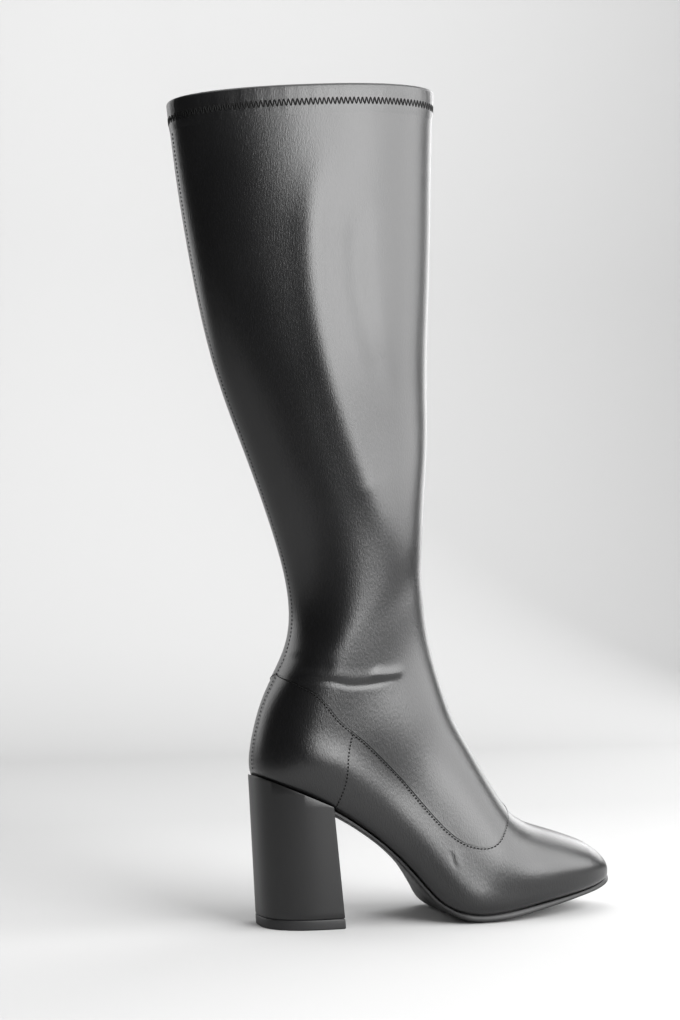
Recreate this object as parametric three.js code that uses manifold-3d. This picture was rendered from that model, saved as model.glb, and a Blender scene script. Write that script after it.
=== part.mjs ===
// Knee-high boot for the right foot: block heel, close-fitting shaft, short zip on the inner side.
// X runs to the toe, Y to the inner side of the foot, Z up; the origin is under the heel's middle.
import * as THREE from 'three';
import Module from 'manifold-3d';

const wasm = await Module();
wasm.setup();
const { CrossSection, Manifold } = wasm;

// Main sizes, in millimetres
const FOOT_LENGTH = 233;      // back of the heel to the tip of the toe
const BALL_WIDTH = 83;        // across the ball of the foot
const HEEL_HEIGHT = 90;       // floor to the back edge of the heel seat
const SEAT_RISE = 3;          // rise of the form's turn behind the heel seat
const INSTEP_HEIGHT = 70;     // sole to instep, along a section of the foot
const TOE_SPRING = 18;        // rise of the toe above the ball
const SHAFT_HEIGHT = 411;     // back edge of the heel seat to the front of the collar
const CALF_WIDTH = 71;        // across the calf
const FIT = 0.3;              // space between curved pieces
const FLAT_FIT = 0.1;         // space between flat pieces

// Leather, as levels below the shaft's face
const COUNTER_LEVEL = -0.35;
const VAMP_LEVEL = -0.7;
const LINING_LEVEL = -2;
const BAND_LEVEL = 0.55;
const BAND_START = 21.71;     // row where the folded collar band begins
const COLLAR_RUN_OUT = 0.3;   // rows that the inside is cut beyond the collar
const MARGIN_ANGLE = 37;      // half angle of the opening inside the lasting margin

// Sole and insole; where they begin and end are row numbers
const SOLE_BALL = 3.8;
const SOLE_WAIST = 1.9;
const SOLE_TOE = 2.3;
const SOLE_BASE = 3.3;        // floor to the upper under the ball
const INSOLE_THICKNESS = 2.2;
const INSOLE_ANGLE = 40;
const SOLE_DEPTHS = [[0, SOLE_TOE], [3, SOLE_TOE], [5, SOLE_BALL], [6.2, SOLE_BALL], [7.2, SOLE_WAIST]];
const SOLE_ANGLES = [[0, 46], [5, 46], [6.2, 44], [7, 40], [8, 38]];
const SOLE_ENDS = [0.31, 10.2];
const INSOLE_ENDS = [1.1, 11.9];
const OPENING_ENDS = [1.7, 11.5];

// Heel
const HEEL_TIP_HEIGHT = 6;
const HEEL_FOOT_BACK = 25.5;    // heel's back edge on the floor, behind the origin
const HEEL_FOOT_FRONT = 19;
const HEEL_FOOT_WIDTH = 55;
const HEEL_BACK_LEAN = 0.055; // backward lean of the heel's back, per millimetre of height
const HEEL_BREAST_LEAN = 0.108;
const HEEL_FLARE = 0.005;     // growth of the half width, per millimetre of height
const HEEL_ROUNDNESS = 2.6;
const RIM_BACK_DROP = 0.9;    // heel's rim below the seat height, at the back
const RIM_FRONT_DROP = 18;    // and at the breast
const HEEL_STEPS = 22;

// Zip
const SLOT_WIDTH = 8.5;
const TEETH_WIDTH = 4.6;
const TAPE_LEVELS = [LINING_LEVEL, -1.1];
const TEETH_LEVELS = [-0.8, 0.35];
const STOP_LEVELS = [-0.8, 0.75];
const STOP_WIDTH = 6.6;
const ZIP_STEPS = 28;
const SLOT_RUN_OUT = 0.05;    // slot beyond the ends of the zip's line, as places along it
const TAPE_END_GAP = 0.03;
const TEETH_GAPS = [0.12, 0.16];
const STOP_PLACES = [0.02, 0.09];
const SLIDER_PLACE = 0.35;    // slider's middle, down from the line's upper end
const SLIDER_LENGTH = 10;
const SLIDER_WIDTH = 7.6;
const SLIDER_THICKNESS = 1.5;
const BRIDGE_LENGTH = 6.8;
const BRIDGE_WIDTH = 2;
const BRIDGE_BAR = 1;
const PULL_LENGTH = 25;
const PULL_WIDTH = 6;
const PULL_THICKNESS = 1;
const PULL_EYE_LENGTH = 5.4;
const PULL_EYE_WIDTH = 2.7;
const PULL_BAR = 1;
const PULL_PLAY = 0.35;
const PULL_HANG = 4;          // degrees the pull hangs away from the leather

// Foot rows, in shares: x of FOOT_LENGTH, spring of TOE_SPRING, lift of HEEL_HEIGHT,
// height and arch of INSTEP_HEIGHT, widths and shift of BALL_WIDTH; widest is how far up a
// section is widest, and arch is how much the inner edge of the sole is lifted
const FOOT = [
  // lowX, spring, lift, highX, height, outer, inner, shift, widest, lowPower, highPower, arch
  [0.876, 1.01, 0, 0.876, 0.03, 0, 0, 0.048, 0.45, 3, 2.2, 0],
  [0.861, 0.772, 0, 0.862, 0.211, 0.175, 0.169, 0.048, 0.42, 3, 2.2, 0],
  [0.815, 0.606, 0, 0.828, 0.346, 0.301, 0.277, 0.042, 0.38, 3.6, 2.2, 0],
  [0.734, 0.428, 0, 0.764, 0.48, 0.41, 0.38, 0.036, 0.35, 4.2, 2.2, 0],
  [0.627, 0.217, 0, 0.678, 0.626, 0.488, 0.452, 0.024, 0.33, 4.6, 2.2, 0],
  [0.511, 0.017, 0, 0.603, 0.771, 0.518, 0.482, 0, 0.31, 5.6, 2.2, 0],
  [0.41, 0, 0, 0.546, 0.96, 0.518, 0.482, 0, 0.3, 6.5, 2.3, 0.03],
  [0.328, 0, 0.085, 0.5, 1.093, 0.47, 0.434, 0, 0.32, 7, 2.3, 0.22],
  [0.25, 0, 0.315, 0.458, 1.04, 0.41, 0.373, 0, 0.34, 7, 2.3, 0.22],
  [0.15, 0, 0.55, 0.416, 0.987, 0.367, 0.349, 0, 0.38, 7, 2.3, 0.13],
  [0.05, 0, 0.72, 0.385, 1.031, 0.361, 0.361, 0, 0.4, 7, 2.3, 0.04],
  [-0.045, 0, 0.835, 0.361, 1.151, 0.361, 0.367, 0, 0.42, 5.5, 2.2, 0],
  [-0.124, 0, 0.955, 0.342, 1.281, 0.355, 0.361, 0, 0.45, 3, 2.2, 0],
];

// Leg rows, in shares: x of FOOT_LENGTH, rises of SHAFT_HEIGHT, width of CALF_WIDTH
const LEG = [
  // backX, backRise, frontX, frontRise, width, widest, power
  [-0.121, 0.061, 0.332, 0.265, 0.415, 0.47, 2.2],
  [-0.086, 0.119, 0.329, 0.307, 0.415, 0.49, 2.1],
  [-0.031, 0.19, 0.332, 0.355, 0.415, 0.5, 2.1],
  [-0.035, 0.277, 0.337, 0.409, 0.423, 0.5, 2.1],
  [-0.086, 0.37, 0.342, 0.474, 0.444, 0.5, 2.1],
  [-0.155, 0.474, 0.344, 0.555, 0.472, 0.5, 2.1],
  [-0.223, 0.579, 0.347, 0.642, 0.5, 0.5, 2.1],
  [-0.279, 0.696, 0.35, 0.747, 0.507, 0.5, 2.1],
  [-0.32, 0.822, 0.356, 0.871, 0.486, 0.5, 2.1],
  [-0.348, 0.948, 0.365, 1, 0.451, 0.5, 2.1],
];

// Seams and zip as places on the surface: row number and degrees down from the top line
const SHAFT_SEAM = [
  [14.4, 180], [14.1, 150], [13.4, 125], [12.5, 105], [11.4, 94], [10, 90], [8.5, 88],
  [7.5, 83], [6.8, 75], [6.3, 65], [6.1, 50], [6, 30], [6, 0],
];
const COUNTER_SEAM = [[11.4, 94], [10.9, 108], [10.4, 122], [10, 145], [9.8, 180]];
const ZIP_LINE = [
  [9.15, 119], [9.5, 110], [10.1, 97.5], [10.95, 86.5], [12.45, 79.5], [14.15, 91], [15.75, 105.5],
  [16.7, 104.5],
];

// Ring positions along the surface: row where each run begins, and the step within it
const RINGS = [[0, 0.3], [1.8, 0.55], [11, 0.3], [13.5, 0.5], [17, 0.7], [22, 0.5]];
const AROUND = 30;

const radians = (degrees) => (degrees * Math.PI) / 180;

/** Smooth curve through evenly numbered values, free at both ends; returns second derivatives. */
function bends(values) {
  const count = values.length;
  const upper = new Array(count).fill(0);
  const bend = new Array(count).fill(0);
  for (let i = 1; i < count - 1; i += 1) {
    const pivot = 4 - upper[i - 1];
    upper[i] = 1 / pivot;
    bend[i] = (6 * (values[i - 1] - 2 * values[i] + values[i + 1]) - bend[i - 1]) / pivot;
  }
  for (let i = count - 2; i > 0; i -= 1) bend[i] -= upper[i] * bend[i + 1];
  return bend;
}

/** A smooth curve through evenly numbered values, read at any number. */
class Curve {
  constructor(values) {
    this.values = values;
    this.bend = bends(values);
  }

  at(number) {
    const i = Math.min(Math.max(Math.floor(number), 0), this.values.length - 2);
    const f = number - i;
    const g = 1 - f;
    const line = this.values[i] * g + this.values[i + 1] * f;
    return line + ((g ** 3 - g) * this.bend[i] + (f ** 3 - f) * this.bend[i + 1]) / 6;
  }
}

/** Rows in millimetres: low x, low z, high x, high z, outer, inner, shift, widest, powers, arch. */
function sections() {
  const foot = FOOT.map(([lowX, spring, lift, highX, height, outer, inner, ...rest]) => {
    const lowZ = SOLE_BASE + spring * TOE_SPRING + lift * (HEEL_HEIGHT - SOLE_BASE + SEAT_RISE);
    const [shift, widest, lowPower, highPower, arch] = rest;
    return [lowX * FOOT_LENGTH, lowZ, highX * FOOT_LENGTH, lowZ + height * INSTEP_HEIGHT,
      outer * BALL_WIDTH, inner * BALL_WIDTH, shift * BALL_WIDTH, widest, lowPower, highPower,
      arch * INSTEP_HEIGHT];
  });
  const leg = LEG.map(([backX, backRise, frontX, frontRise, width, widest, power]) => {
    const backZ = HEEL_HEIGHT + backRise * SHAFT_HEIGHT;
    const frontZ = HEEL_HEIGHT + frontRise * SHAFT_HEIGHT;
    const half = width * CALF_WIDTH;
    return [backX * FOOT_LENGTH, backZ, frontX * FOOT_LENGTH, frontZ, half, half, 0, widest,
      power, power, 0];
  });
  return [...foot, ...leg];
}

/** The boot's outer form: closed sections from the toe, round the heel and up to the collar. */
class Form {
  constructor() {
    const rows = sections();
    const next = rows[1];
    const mirrored = [next[2], next[3], next[0], next[1], -next[4], -next[5], next[6],
      1 - next[7], next[8], next[9], next[10]];
    const all = [mirrored, ...rows];
    this.last = rows.length - 1;
    this.curves = next.map((_, column) => new Curve(all.map((row) => row[column])));
  }

  /** Point at a row and an angle: 0 inner side, 90 top line, -90 bottom line. */
  plain(row, angle) {
    const read = this.curves.map((curve) => curve.at(row + 1));
    const [lowX, lowZ, highX, highZ, outer, inner, shift, widest, ...rest] = read;
    const [lowPower, highPower, arch] = rest;
    const c = Math.cos(radians(angle));
    const s = Math.sin(radians(angle));
    const power = s >= 0 ? highPower : lowPower;
    const reach = (Math.abs(c) ** power + Math.abs(s) ** power) ** (-1 / power);
    const half = c >= 0 ? inner - shift : outer + shift;
    const share = widest + (s >= 0 ? 1 - widest : widest) * reach * s;
    const lift = (arch / 2) * (1 + reach * c) * (1 - share) ** 2;
    return new THREE.Vector3(
      lowX + (highX - lowX) * share,
      shift + half * reach * c,
      lowZ + (highZ - lowZ) * share + lift,
    );
  }

  /** Outward direction at a row and an angle. */
  normal(row, angle) {
    const step = 0.02;
    const turn = 0.6;
    const from = Math.max(row, 2 * step);
    const along = this.plain(from + step, angle).sub(this.plain(from - step, angle));
    const round = this.plain(from, angle + turn).sub(this.plain(from, angle - turn));
    return along.cross(round).normalize();
  }

  /** Point at a level above (+) or below (-) the surface. */
  at(row, angle, level) {
    return this.plain(row, angle).addScaledVector(this.normal(row, angle), level);
  }
}

const form = new Form();

/** Ring positions between two rows. */
function rings(from, to) {
  const places = [];
  for (let run = 0; run < RINGS.length - 1; run += 1) {
    const [start, step] = RINGS[run];
    for (let row = start; row < RINGS[run + 1][0] - step / 2; row += step) places.push(row);
  }
  const slack = 0.05;
  const inside = places.filter((row) => row > from + slack && row < to - slack);
  return [from, ...inside, to];
}

/** Evenly spaced places between two rows. */
function spaced(from, to, count) {
  return Array.from({ length: count + 1 }, (_, i) => from + ((to - from) * i) / count);
}

/** A closed solid from points and triangles. */
function solid(points, triangles) {
  const mesh = new wasm.Mesh({
    numProp: 3,
    vertProperties: Float32Array.from(points.flatMap((p) => [p.x, p.y, p.z])),
    triVerts: Uint32Array.from(triangles.flat()),
  });
  return new Manifold(mesh);
}

/** The whole form between two rows, at one level. */
function tube(from, to, level) {
  const places = rings(from, to).filter((row) => row > 0);
  const points = [];
  const triangles = [];
  for (const row of places) {
    for (let j = 0; j < AROUND; j += 1) {
      points.push(form.at(row, -90 + (360 * (j + 0.5)) / AROUND, level));
    }
  }
  const ends = [0, places.length - 1].map((ring) => {
    const circle = points.slice(ring * AROUND, (ring + 1) * AROUND);
    const middle = circle.reduce((sum, p) => sum.add(p), new THREE.Vector3());
    return middle.divideScalar(AROUND);
  });
  if (from === 0) {
    const tip = form.plain(0, 0);
    ends[0] = new THREE.Vector3(tip.x + level, tip.y, tip.z);
  }
  points.push(...ends);
  const start = points.length - 2;
  for (let j = 0; j < AROUND; j += 1) {
    const k = (j + 1) % AROUND;
    for (let i = 0; i < places.length - 1; i += 1) {
      const a = i * AROUND;
      const b = a + AROUND;
      triangles.push([a + j, b + j, b + k], [a + j, b + k, a + k]);
    }
    const end = (places.length - 1) * AROUND;
    triangles.push([start, j, k], [start + 1, end + k, end + j]);
  }
  return outwards(solid(points, triangles));
}

/** A solid between two faces that share one grid of rows and columns. */
function between(low, high) {
  const rows = low.length;
  const columns = low[0].length;
  const points = [...low.flat(), ...high.flat()];
  const top = rows * columns;
  const triangles = [];
  const quad = (a, b, c, d) => triangles.push([a, b, c], [a, c, d]);
  for (let i = 0; i < rows - 1; i += 1) {
    for (let j = 0; j < columns - 1; j += 1) {
      const a = i * columns + j;
      const b = a + columns;
      quad(a, a + 1, b + 1, b);
      quad(top + a, top + b, top + b + 1, top + a + 1);
    }
    const side = i * columns;
    const next = side + columns;
    quad(side, next, top + next, top + side);
    quad(side + columns - 1, top + side + columns - 1, top + next + columns - 1, next + columns - 1);
  }
  for (let j = 0; j < columns - 1; j += 1) {
    const end = (rows - 1) * columns + j;
    quad(j, top + j, top + j + 1, j + 1);
    quad(end, end + 1, top + end + 1, top + end);
  }
  return solid(points, triangles);
}

/** A plate along the bottom line; half angle and both levels are functions of the row. */
function plate(places, columns, halfAngle, lowLevel, highLevel) {
  const face = (level) => places.map((row) => Array.from({ length: columns }, (_, j) => {
    const share = (2 * j) / (columns - 1) - 1;
    return form.at(row, -90 + share * halfAngle(row), level(row));
  }));
  return outwards(between(face(lowLevel), face(highLevel)));
}

/** The same solid with its faces outwards. */
function outwards(body) {
  if (body.volume() > 0) return body;
  const mesh = body.getMesh();
  for (let i = 0; i < mesh.triVerts.length; i += 3) {
    const first = mesh.triVerts[i];
    mesh.triVerts[i] = mesh.triVerts[i + 1];
    mesh.triVerts[i + 1] = first;
  }
  return new Manifold(mesh);
}

/** A block across the whole boot whose outline is given in X and Z. */
function across(outline) {
  const width = 2 * (BALL_WIDTH + CALF_WIDTH);
  const face = new CrossSection([outline], 'EvenOdd');
  return face.extrude(width).rotate([90, 0, 0]).translate([0, width / 2, 0]);
}

/** X and Z of places on the surface, joined by a smooth curve. */
function drawn(places, steps) {
  const row = new Curve(places.map((place) => place[0]));
  const down = new Curve(places.map((place) => place[1]));
  const count = (places.length - 1) * steps;
  return Array.from({ length: count + 1 }, (_, i) => {
    const p = form.plain(row.at(i / steps), 90 + down.at(i / steps));
    return [p.x, p.z];
  });
}

/** Values blended between named places: pairs of row and value. */
function blend(pairs, row) {
  const next = pairs.findIndex(([place]) => place >= row);
  if (next < 0) return pairs[pairs.length - 1][1];
  if (next === 0) return pairs[0][1];
  const [lowRow, low] = pairs[next - 1];
  const [highRow, high] = pairs[next];
  return low + ((high - low) * (row - lowRow)) / (highRow - lowRow);
}

/** The zip's line: frame at a share of its length, upwards, across and outwards. */
class ZipLine {
  constructor() {
    this.row = new Curve(ZIP_LINE.map((place) => place[0]));
    this.down = new Curve(ZIP_LINE.map((place) => place[1]));
    this.end = ZIP_LINE.length - 1;
  }

  angle(number) {
    return 90 - this.down.at(number);
  }

  frame(number) {
    const step = 0.02;
    const row = this.row.at(number);
    const angle = this.angle(number);
    const origin = form.plain(row, angle);
    const out = form.normal(row, angle);
    const ahead = form.plain(this.row.at(number + step), this.angle(number + step));
    const up = ahead.sub(origin).projectOnPlane(out).normalize();
    return { origin, up, out, side: up.clone().cross(out) };
  }

  /** Point beside the line, found on the surface by its own small steps. */
  beside(number, offset, level) {
    const row = this.row.at(number);
    const angle = this.angle(number);
    const { side } = this.frame(number);
    const step = 0.02;
    const turn = 0.6;
    const here = form.plain(row, angle);
    const along = form.plain(row + step, angle).sub(here).divideScalar(step);
    const round = form.plain(row, angle + turn).sub(here).divideScalar(turn);
    const aa = along.dot(along);
    const ar = along.dot(round);
    const rr = round.dot(round);
    const as = along.dot(side);
    const rs = round.dot(side);
    const whole = aa * rr - ar * ar;
    const rowStep = (as * rr - rs * ar) / whole;
    const turnStep = (rs * aa - as * ar) / whole;
    return form.at(row + rowStep * offset, angle + turnStep * offset, level);
  }

  /** A strip along the line through a list of numbers. */
  strip(numbers, width, levels) {
    const face = (level) => numbers.map((number) => [-0.5, 0, 0.5]
      .map((share) => this.beside(number, share * width, level)));
    return outwards(between(face(levels[0]), face(levels[1])));
  }
}

const zip = new ZipLine();
const tapeSteps = spaced(0, zip.end - TAPE_END_GAP, ZIP_STEPS);

/** A block with its size along side, up and out, placed in the slider's frame. */
function block(width, length, thickness, centre) {
  return Manifold.cube([width, length, thickness], true).translate(centre);
}

/** A solid drawn in the slider's frame, put in its place on the boot. */
function placed(body, frame) {
  const { side, up, out, origin } = frame;
  return body.transform([
    side.x, side.y, side.z, 0,
    up.x, up.y, up.z, 0,
    out.x, out.y, out.z, 0,
    origin.x, origin.y, origin.z, 1,
  ]);
}

/** Half-round plan of the heel at a height: flat breast, rounded back. */
function heelPlan(height) {
  const front = HEEL_FOOT_FRONT - HEEL_BREAST_LEAN * height;
  const back = -HEEL_FOOT_BACK - HEEL_BACK_LEAN * height;
  const half = HEEL_FOOT_WIDTH / 2 + HEEL_FLARE * height;
  return Array.from({ length: HEEL_STEPS + 1 }, (_, i) => {
    const angle = radians(-90 + (180 * i) / HEEL_STEPS);
    const c = Math.cos(angle);
    const s = Math.sin(angle);
    const reach = (Math.abs(c) ** HEEL_ROUNDNESS + Math.abs(s) ** HEEL_ROUNDNESS)
      ** (-1 / HEEL_ROUNDNESS);
    return new THREE.Vector3(front - (front - back) * reach * c, -half * reach * s, height);
  });
}

/** The heel's column between two heights. */
function heelColumn(low, high) {
  const ringA = heelPlan(low);
  const ringB = heelPlan(high);
  const count = ringA.length;
  const points = [...ringA, ...ringB];
  const triangles = [];
  for (let i = 0; i < count; i += 1) {
    const k = (i + 1) % count;
    triangles.push([i, k, count + k], [i, count + k, count + i]);
    if (i > 0 && i < count - 1) {
      triangles.push([0, i + 1, i], [count, count + i, count + i + 1]);
    }
  }
  return outwards(solid(points, triangles));
}

/** Upper: shaft, counter and vamp in one hollow form, stepped at the seams. */
function makeUpper() {
  const far = 3 * SHAFT_HEIGHT;
  const seam = drawn(SHAFT_SEAM, 2);
  const ridge = seam[seam.length - 1];
  const heelEnd = seam[0];
  const shaftSide = across([
    ...seam,
    [ridge[0] + FOOT_LENGTH, ridge[1] + INSTEP_HEIGHT],
    [FOOT_LENGTH, far],
    [-FOOT_LENGTH, far],
    [-FOOT_LENGTH, heelEnd[1]],
  ]);
  const join = drawn(COUNTER_SEAM, 2);
  const foot = join[join.length - 1];
  const counterSide = across([
    ...join,
    [foot[0], -HEEL_HEIGHT],
    [-FOOT_LENGTH, -HEEL_HEIGHT],
    [-FOOT_LENGTH, far],
    [join[0][0], far],
  ]);
  const vamp = tube(0, form.last, VAMP_LEVEL);
  const counter = tube(0, form.last, COUNTER_LEVEL).intersect(counterSide);
  const shaft = tube(0, form.last, 0).intersect(shaftSide);
  const band = tube(BAND_START, form.last, BAND_LEVEL);
  const inside = tube(0, form.last + COLLAR_RUN_OUT, LINING_LEVEL);
  const opening = plate(spaced(...OPENING_ENDS, 26), 5, () => MARGIN_ANGLE,
    () => -LINING_LEVEL, () => 2.5 * LINING_LEVEL);
  const slotSteps = [-SLOT_RUN_OUT, ...tapeSteps, zip.end + SLOT_RUN_OUT / 2];
  const slot = zip.strip(slotSteps, SLOT_WIDTH, [2 * LINING_LEVEL, -LINING_LEVEL]);
  return vamp.add(counter).add(shaft).add(band).subtract(inside).subtract(opening).subtract(slot);
}

/** Insole board, resting on the lasting margin inside the upper. */
function makeInsole() {
  const under = LINING_LEVEL - FIT;
  const sheet = plate(spaced(...INSOLE_ENDS, 19), 5, () => INSOLE_ANGLE,
    () => under - INSOLE_THICKNESS, () => 0);
  return sheet.intersect(tube(0, form.last, under));
}

/** Outsole from the heel's breast to the toe, flat where it stands. */
function makeOutsole() {
  const top = COUNTER_LEVEL + FIT;
  const sheet = plate(spaced(...SOLE_ENDS, 28), 7, (row) => blend(SOLE_ANGLES, row),
    () => LINING_LEVEL, (row) => blend(SOLE_DEPTHS, row)).subtract(tube(0, form.last, top));
  const floor = Manifold.cube([2 * FOOT_LENGTH, FOOT_LENGTH, HEEL_HEIGHT])
    .translate([-FOOT_LENGTH / 2, -FOOT_LENGTH / 2, 0]);
  const breast = heelColumn(0, HEEL_HEIGHT).translate([FIT, 0, 0]);
  return sheet.intersect(floor).subtract(breast);
}

/** Heel block: leaning column with a rim that cups the back of the upper. */
function makeHeelBlock() {
  const column = heelColumn(HEEL_TIP_HEIGHT + FLAT_FIT, HEEL_HEIGHT + INSOLE_THICKNESS);
  const back = [-HEEL_FOOT_BACK - HEEL_BACK_LEAN * HEEL_HEIGHT, HEEL_HEIGHT - RIM_BACK_DROP];
  const front = [HEEL_FOOT_FRONT - HEEL_BREAST_LEAN * HEEL_HEIGHT, HEEL_HEIGHT - RIM_FRONT_DROP];
  const slope = (front[1] - back[1]) / (front[0] - back[0]);
  const reach = FOOT_LENGTH / 2;
  const rim = across([
    [back[0] - reach, -HEEL_HEIGHT],
    [front[0] + reach, -HEEL_HEIGHT],
    [front[0] + reach, front[1] + slope * reach],
    [back[0] - reach, back[1] - slope * reach],
  ]);
  return column.intersect(rim).subtract(tube(0, form.last, COUNTER_LEVEL + FIT));
}

/** Slider's body and bridge, in its own frame: side, up, out. */
function sliderShape() {
  const low = TEETH_LEVELS[1] + FIT;
  const middle = low + SLIDER_THICKNESS / 2;
  const top = low + SLIDER_THICKNESS;
  const plan = [
    [-0.5, -0.3], [-0.36, -0.5], [0.36, -0.5], [0.5, -0.3], [0.5, 0.3], [0.3, 0.5], [-0.3, 0.5],
    [-0.5, 0.3],
  ].map(([x, y]) => [x * SLIDER_WIDTH, y * SLIDER_LENGTH]);
  const body = new CrossSection([plan], 'EvenOdd').extrude(SLIDER_THICKNESS).translate([0, 0, low]);
  const windowHeight = PULL_BAR + 2 * PULL_PLAY;
  const arch = block(BRIDGE_WIDTH, BRIDGE_LENGTH, windowHeight + BRIDGE_BAR + SLIDER_THICKNESS / 2,
    [0, 0, middle + (windowHeight + BRIDGE_BAR + SLIDER_THICKNESS / 2) / 2]);
  const gap = block(2 * BRIDGE_WIDTH, BRIDGE_LENGTH - 2 * BRIDGE_BAR, windowHeight,
    [0, 0, top + windowHeight / 2]);
  const pivotUp = -BRIDGE_LENGTH / 2 + BRIDGE_BAR + PULL_PLAY + PULL_BAR / 2;
  const pivotOut = top + PULL_PLAY + PULL_BAR / 2;
  return { body: body.add(arch.subtract(gap)), pivot: [0, pivotUp, pivotOut] };
}

/** Pull tab: a bar under the bridge, two arms and a flat tongue hanging down. */
function pullShape(pivot) {
  const outerEye = PULL_EYE_WIDTH + 2 * PULL_BAR;
  const eyeDown = PULL_BAR / 2 + PULL_EYE_LENGTH;
  const eyeLength = eyeDown + PULL_BAR;
  const eye = block(outerEye, eyeLength, PULL_BAR, [0, (PULL_BAR - eyeLength) / 2, 0]);
  const window = block(PULL_EYE_WIDTH, PULL_EYE_LENGTH, 2 * PULL_BAR,
    [0, -PULL_BAR / 2 - PULL_EYE_LENGTH / 2, 0]);
  const length = PULL_LENGTH - eyeDown - PULL_BAR / 2;
  const plan = [
    [-0.34, 0], [-0.5, -0.25], [-0.5, -0.85], [-0.36, -1], [0.36, -1], [0.5, -0.85], [0.5, -0.25],
    [0.34, 0],
  ].map(([x, y]) => [x * PULL_WIDTH, y * length]);
  const tongue = new CrossSection([plan], 'EvenOdd').extrude(PULL_THICKNESS)
    .translate([0, -eyeDown, -PULL_THICKNESS / 2]);
  return eye.subtract(window).add(tongue).rotate([-PULL_HANG, 0, 0]).translate(pivot);
}

/** A named mesh with its own finish. */
function named(name, body, colour, roughness, metalness) {
  const { vertProperties, triVerts } = body.getMesh();
  const geometry = new THREE.BufferGeometry();
  geometry.setAttribute('position', new THREE.BufferAttribute(Float32Array.from(vertProperties), 3));
  geometry.setIndex(new THREE.BufferAttribute(Uint32Array.from(triVerts), 1));
  geometry.computeVertexNormals();
  const material = new THREE.MeshStandardMaterial({ color: colour, roughness, metalness });
  const mesh = new THREE.Mesh(geometry, material);
  mesh.name = name;
  return mesh;
}

const sliderFrame = zip.frame(zip.end - SLIDER_PLACE);
const slider = sliderShape();
const tape = zip.strip(tapeSteps, SLOT_WIDTH - 2 * FIT, TAPE_LEVELS);
const teethSteps = spaced(TEETH_GAPS[0], zip.end - TEETH_GAPS[1], ZIP_STEPS);
const teeth = zip.strip(teethSteps, TEETH_WIDTH, TEETH_LEVELS);
const stop = zip.strip(STOP_PLACES, STOP_WIDTH, STOP_LEVELS);
const boot = new THREE.Group();
boot.name = 'knee_high_boot';
boot.add(
  named('upper', makeUpper(), 0x232325, 0.4, 0),
  named('insole', makeInsole(), 0x8a7358, 0.9, 0),
  named('outsole', makeOutsole(), 0x1c1c1d, 0.7, 0),
  named('heel_block', makeHeelBlock(), 0x2a2a2c, 0.45, 0),
  named('heel_tip', heelColumn(0, HEEL_TIP_HEIGHT), 0x2f2f31, 0.75, 0),
  named('zip_tape', tape, 0x101011, 0.95, 0),
  named('zip_teeth', teeth, 0x17171a, 0.6, 0),
  named('zip_bottom_stop', stop, 0x4c4c50, 0.4, 0.9),
  named('zip_slider', placed(slider.body, sliderFrame), 0x1b1b1d, 0.35, 0.8),
  named('zip_pull', placed(pullShape(slider.pivot), sliderFrame), 0x161618, 0.4, 0.6),
);

export default boot;
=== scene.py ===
"""Looks of the knee-high boot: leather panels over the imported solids, stitches, zip and studio."""

import logging
import math
from dataclasses import dataclass
from enum import Enum
from typing import Callable, Sequence

import bmesh
import bpy
import numpy as np
from mathutils import Matrix, Vector

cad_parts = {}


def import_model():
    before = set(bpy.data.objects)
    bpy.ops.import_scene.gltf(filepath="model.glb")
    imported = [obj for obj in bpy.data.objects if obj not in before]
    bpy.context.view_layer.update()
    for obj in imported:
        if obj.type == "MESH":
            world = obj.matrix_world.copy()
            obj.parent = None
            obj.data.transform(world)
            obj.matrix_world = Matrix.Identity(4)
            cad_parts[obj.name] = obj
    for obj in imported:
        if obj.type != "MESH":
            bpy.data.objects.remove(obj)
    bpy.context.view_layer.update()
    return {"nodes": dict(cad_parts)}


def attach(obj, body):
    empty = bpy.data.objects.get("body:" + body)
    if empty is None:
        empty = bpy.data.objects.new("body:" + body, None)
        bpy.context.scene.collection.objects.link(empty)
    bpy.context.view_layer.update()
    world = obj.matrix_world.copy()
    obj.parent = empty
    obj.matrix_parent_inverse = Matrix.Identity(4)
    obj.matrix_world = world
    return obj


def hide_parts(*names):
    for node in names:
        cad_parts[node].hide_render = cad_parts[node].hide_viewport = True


LOG = logging.getLogger("boot")
MM = 0.001
BOOT = "boot"
PULL = "pull_tab"

Array = np.ndarray
Level = Callable[[Array, Array], Array]


class Side(Enum):
    """Side of the foot, as the sign of Y."""

    OUTER = -1
    INNER = 1


# Main sizes, in millimetres, as in the part's source
FOOT_LENGTH = 233.0
BALL_WIDTH = 83.0
HEEL_HEIGHT = 90.0
INSTEP_HEIGHT = 70.0
TOE_SPRING = 18.0
SHAFT_HEIGHT = 411.0
CALF_WIDTH = 71.0
SOLE_BASE = 3.3
SEAT_RISE = 3.0
LAST_ROW = 22.0

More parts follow.
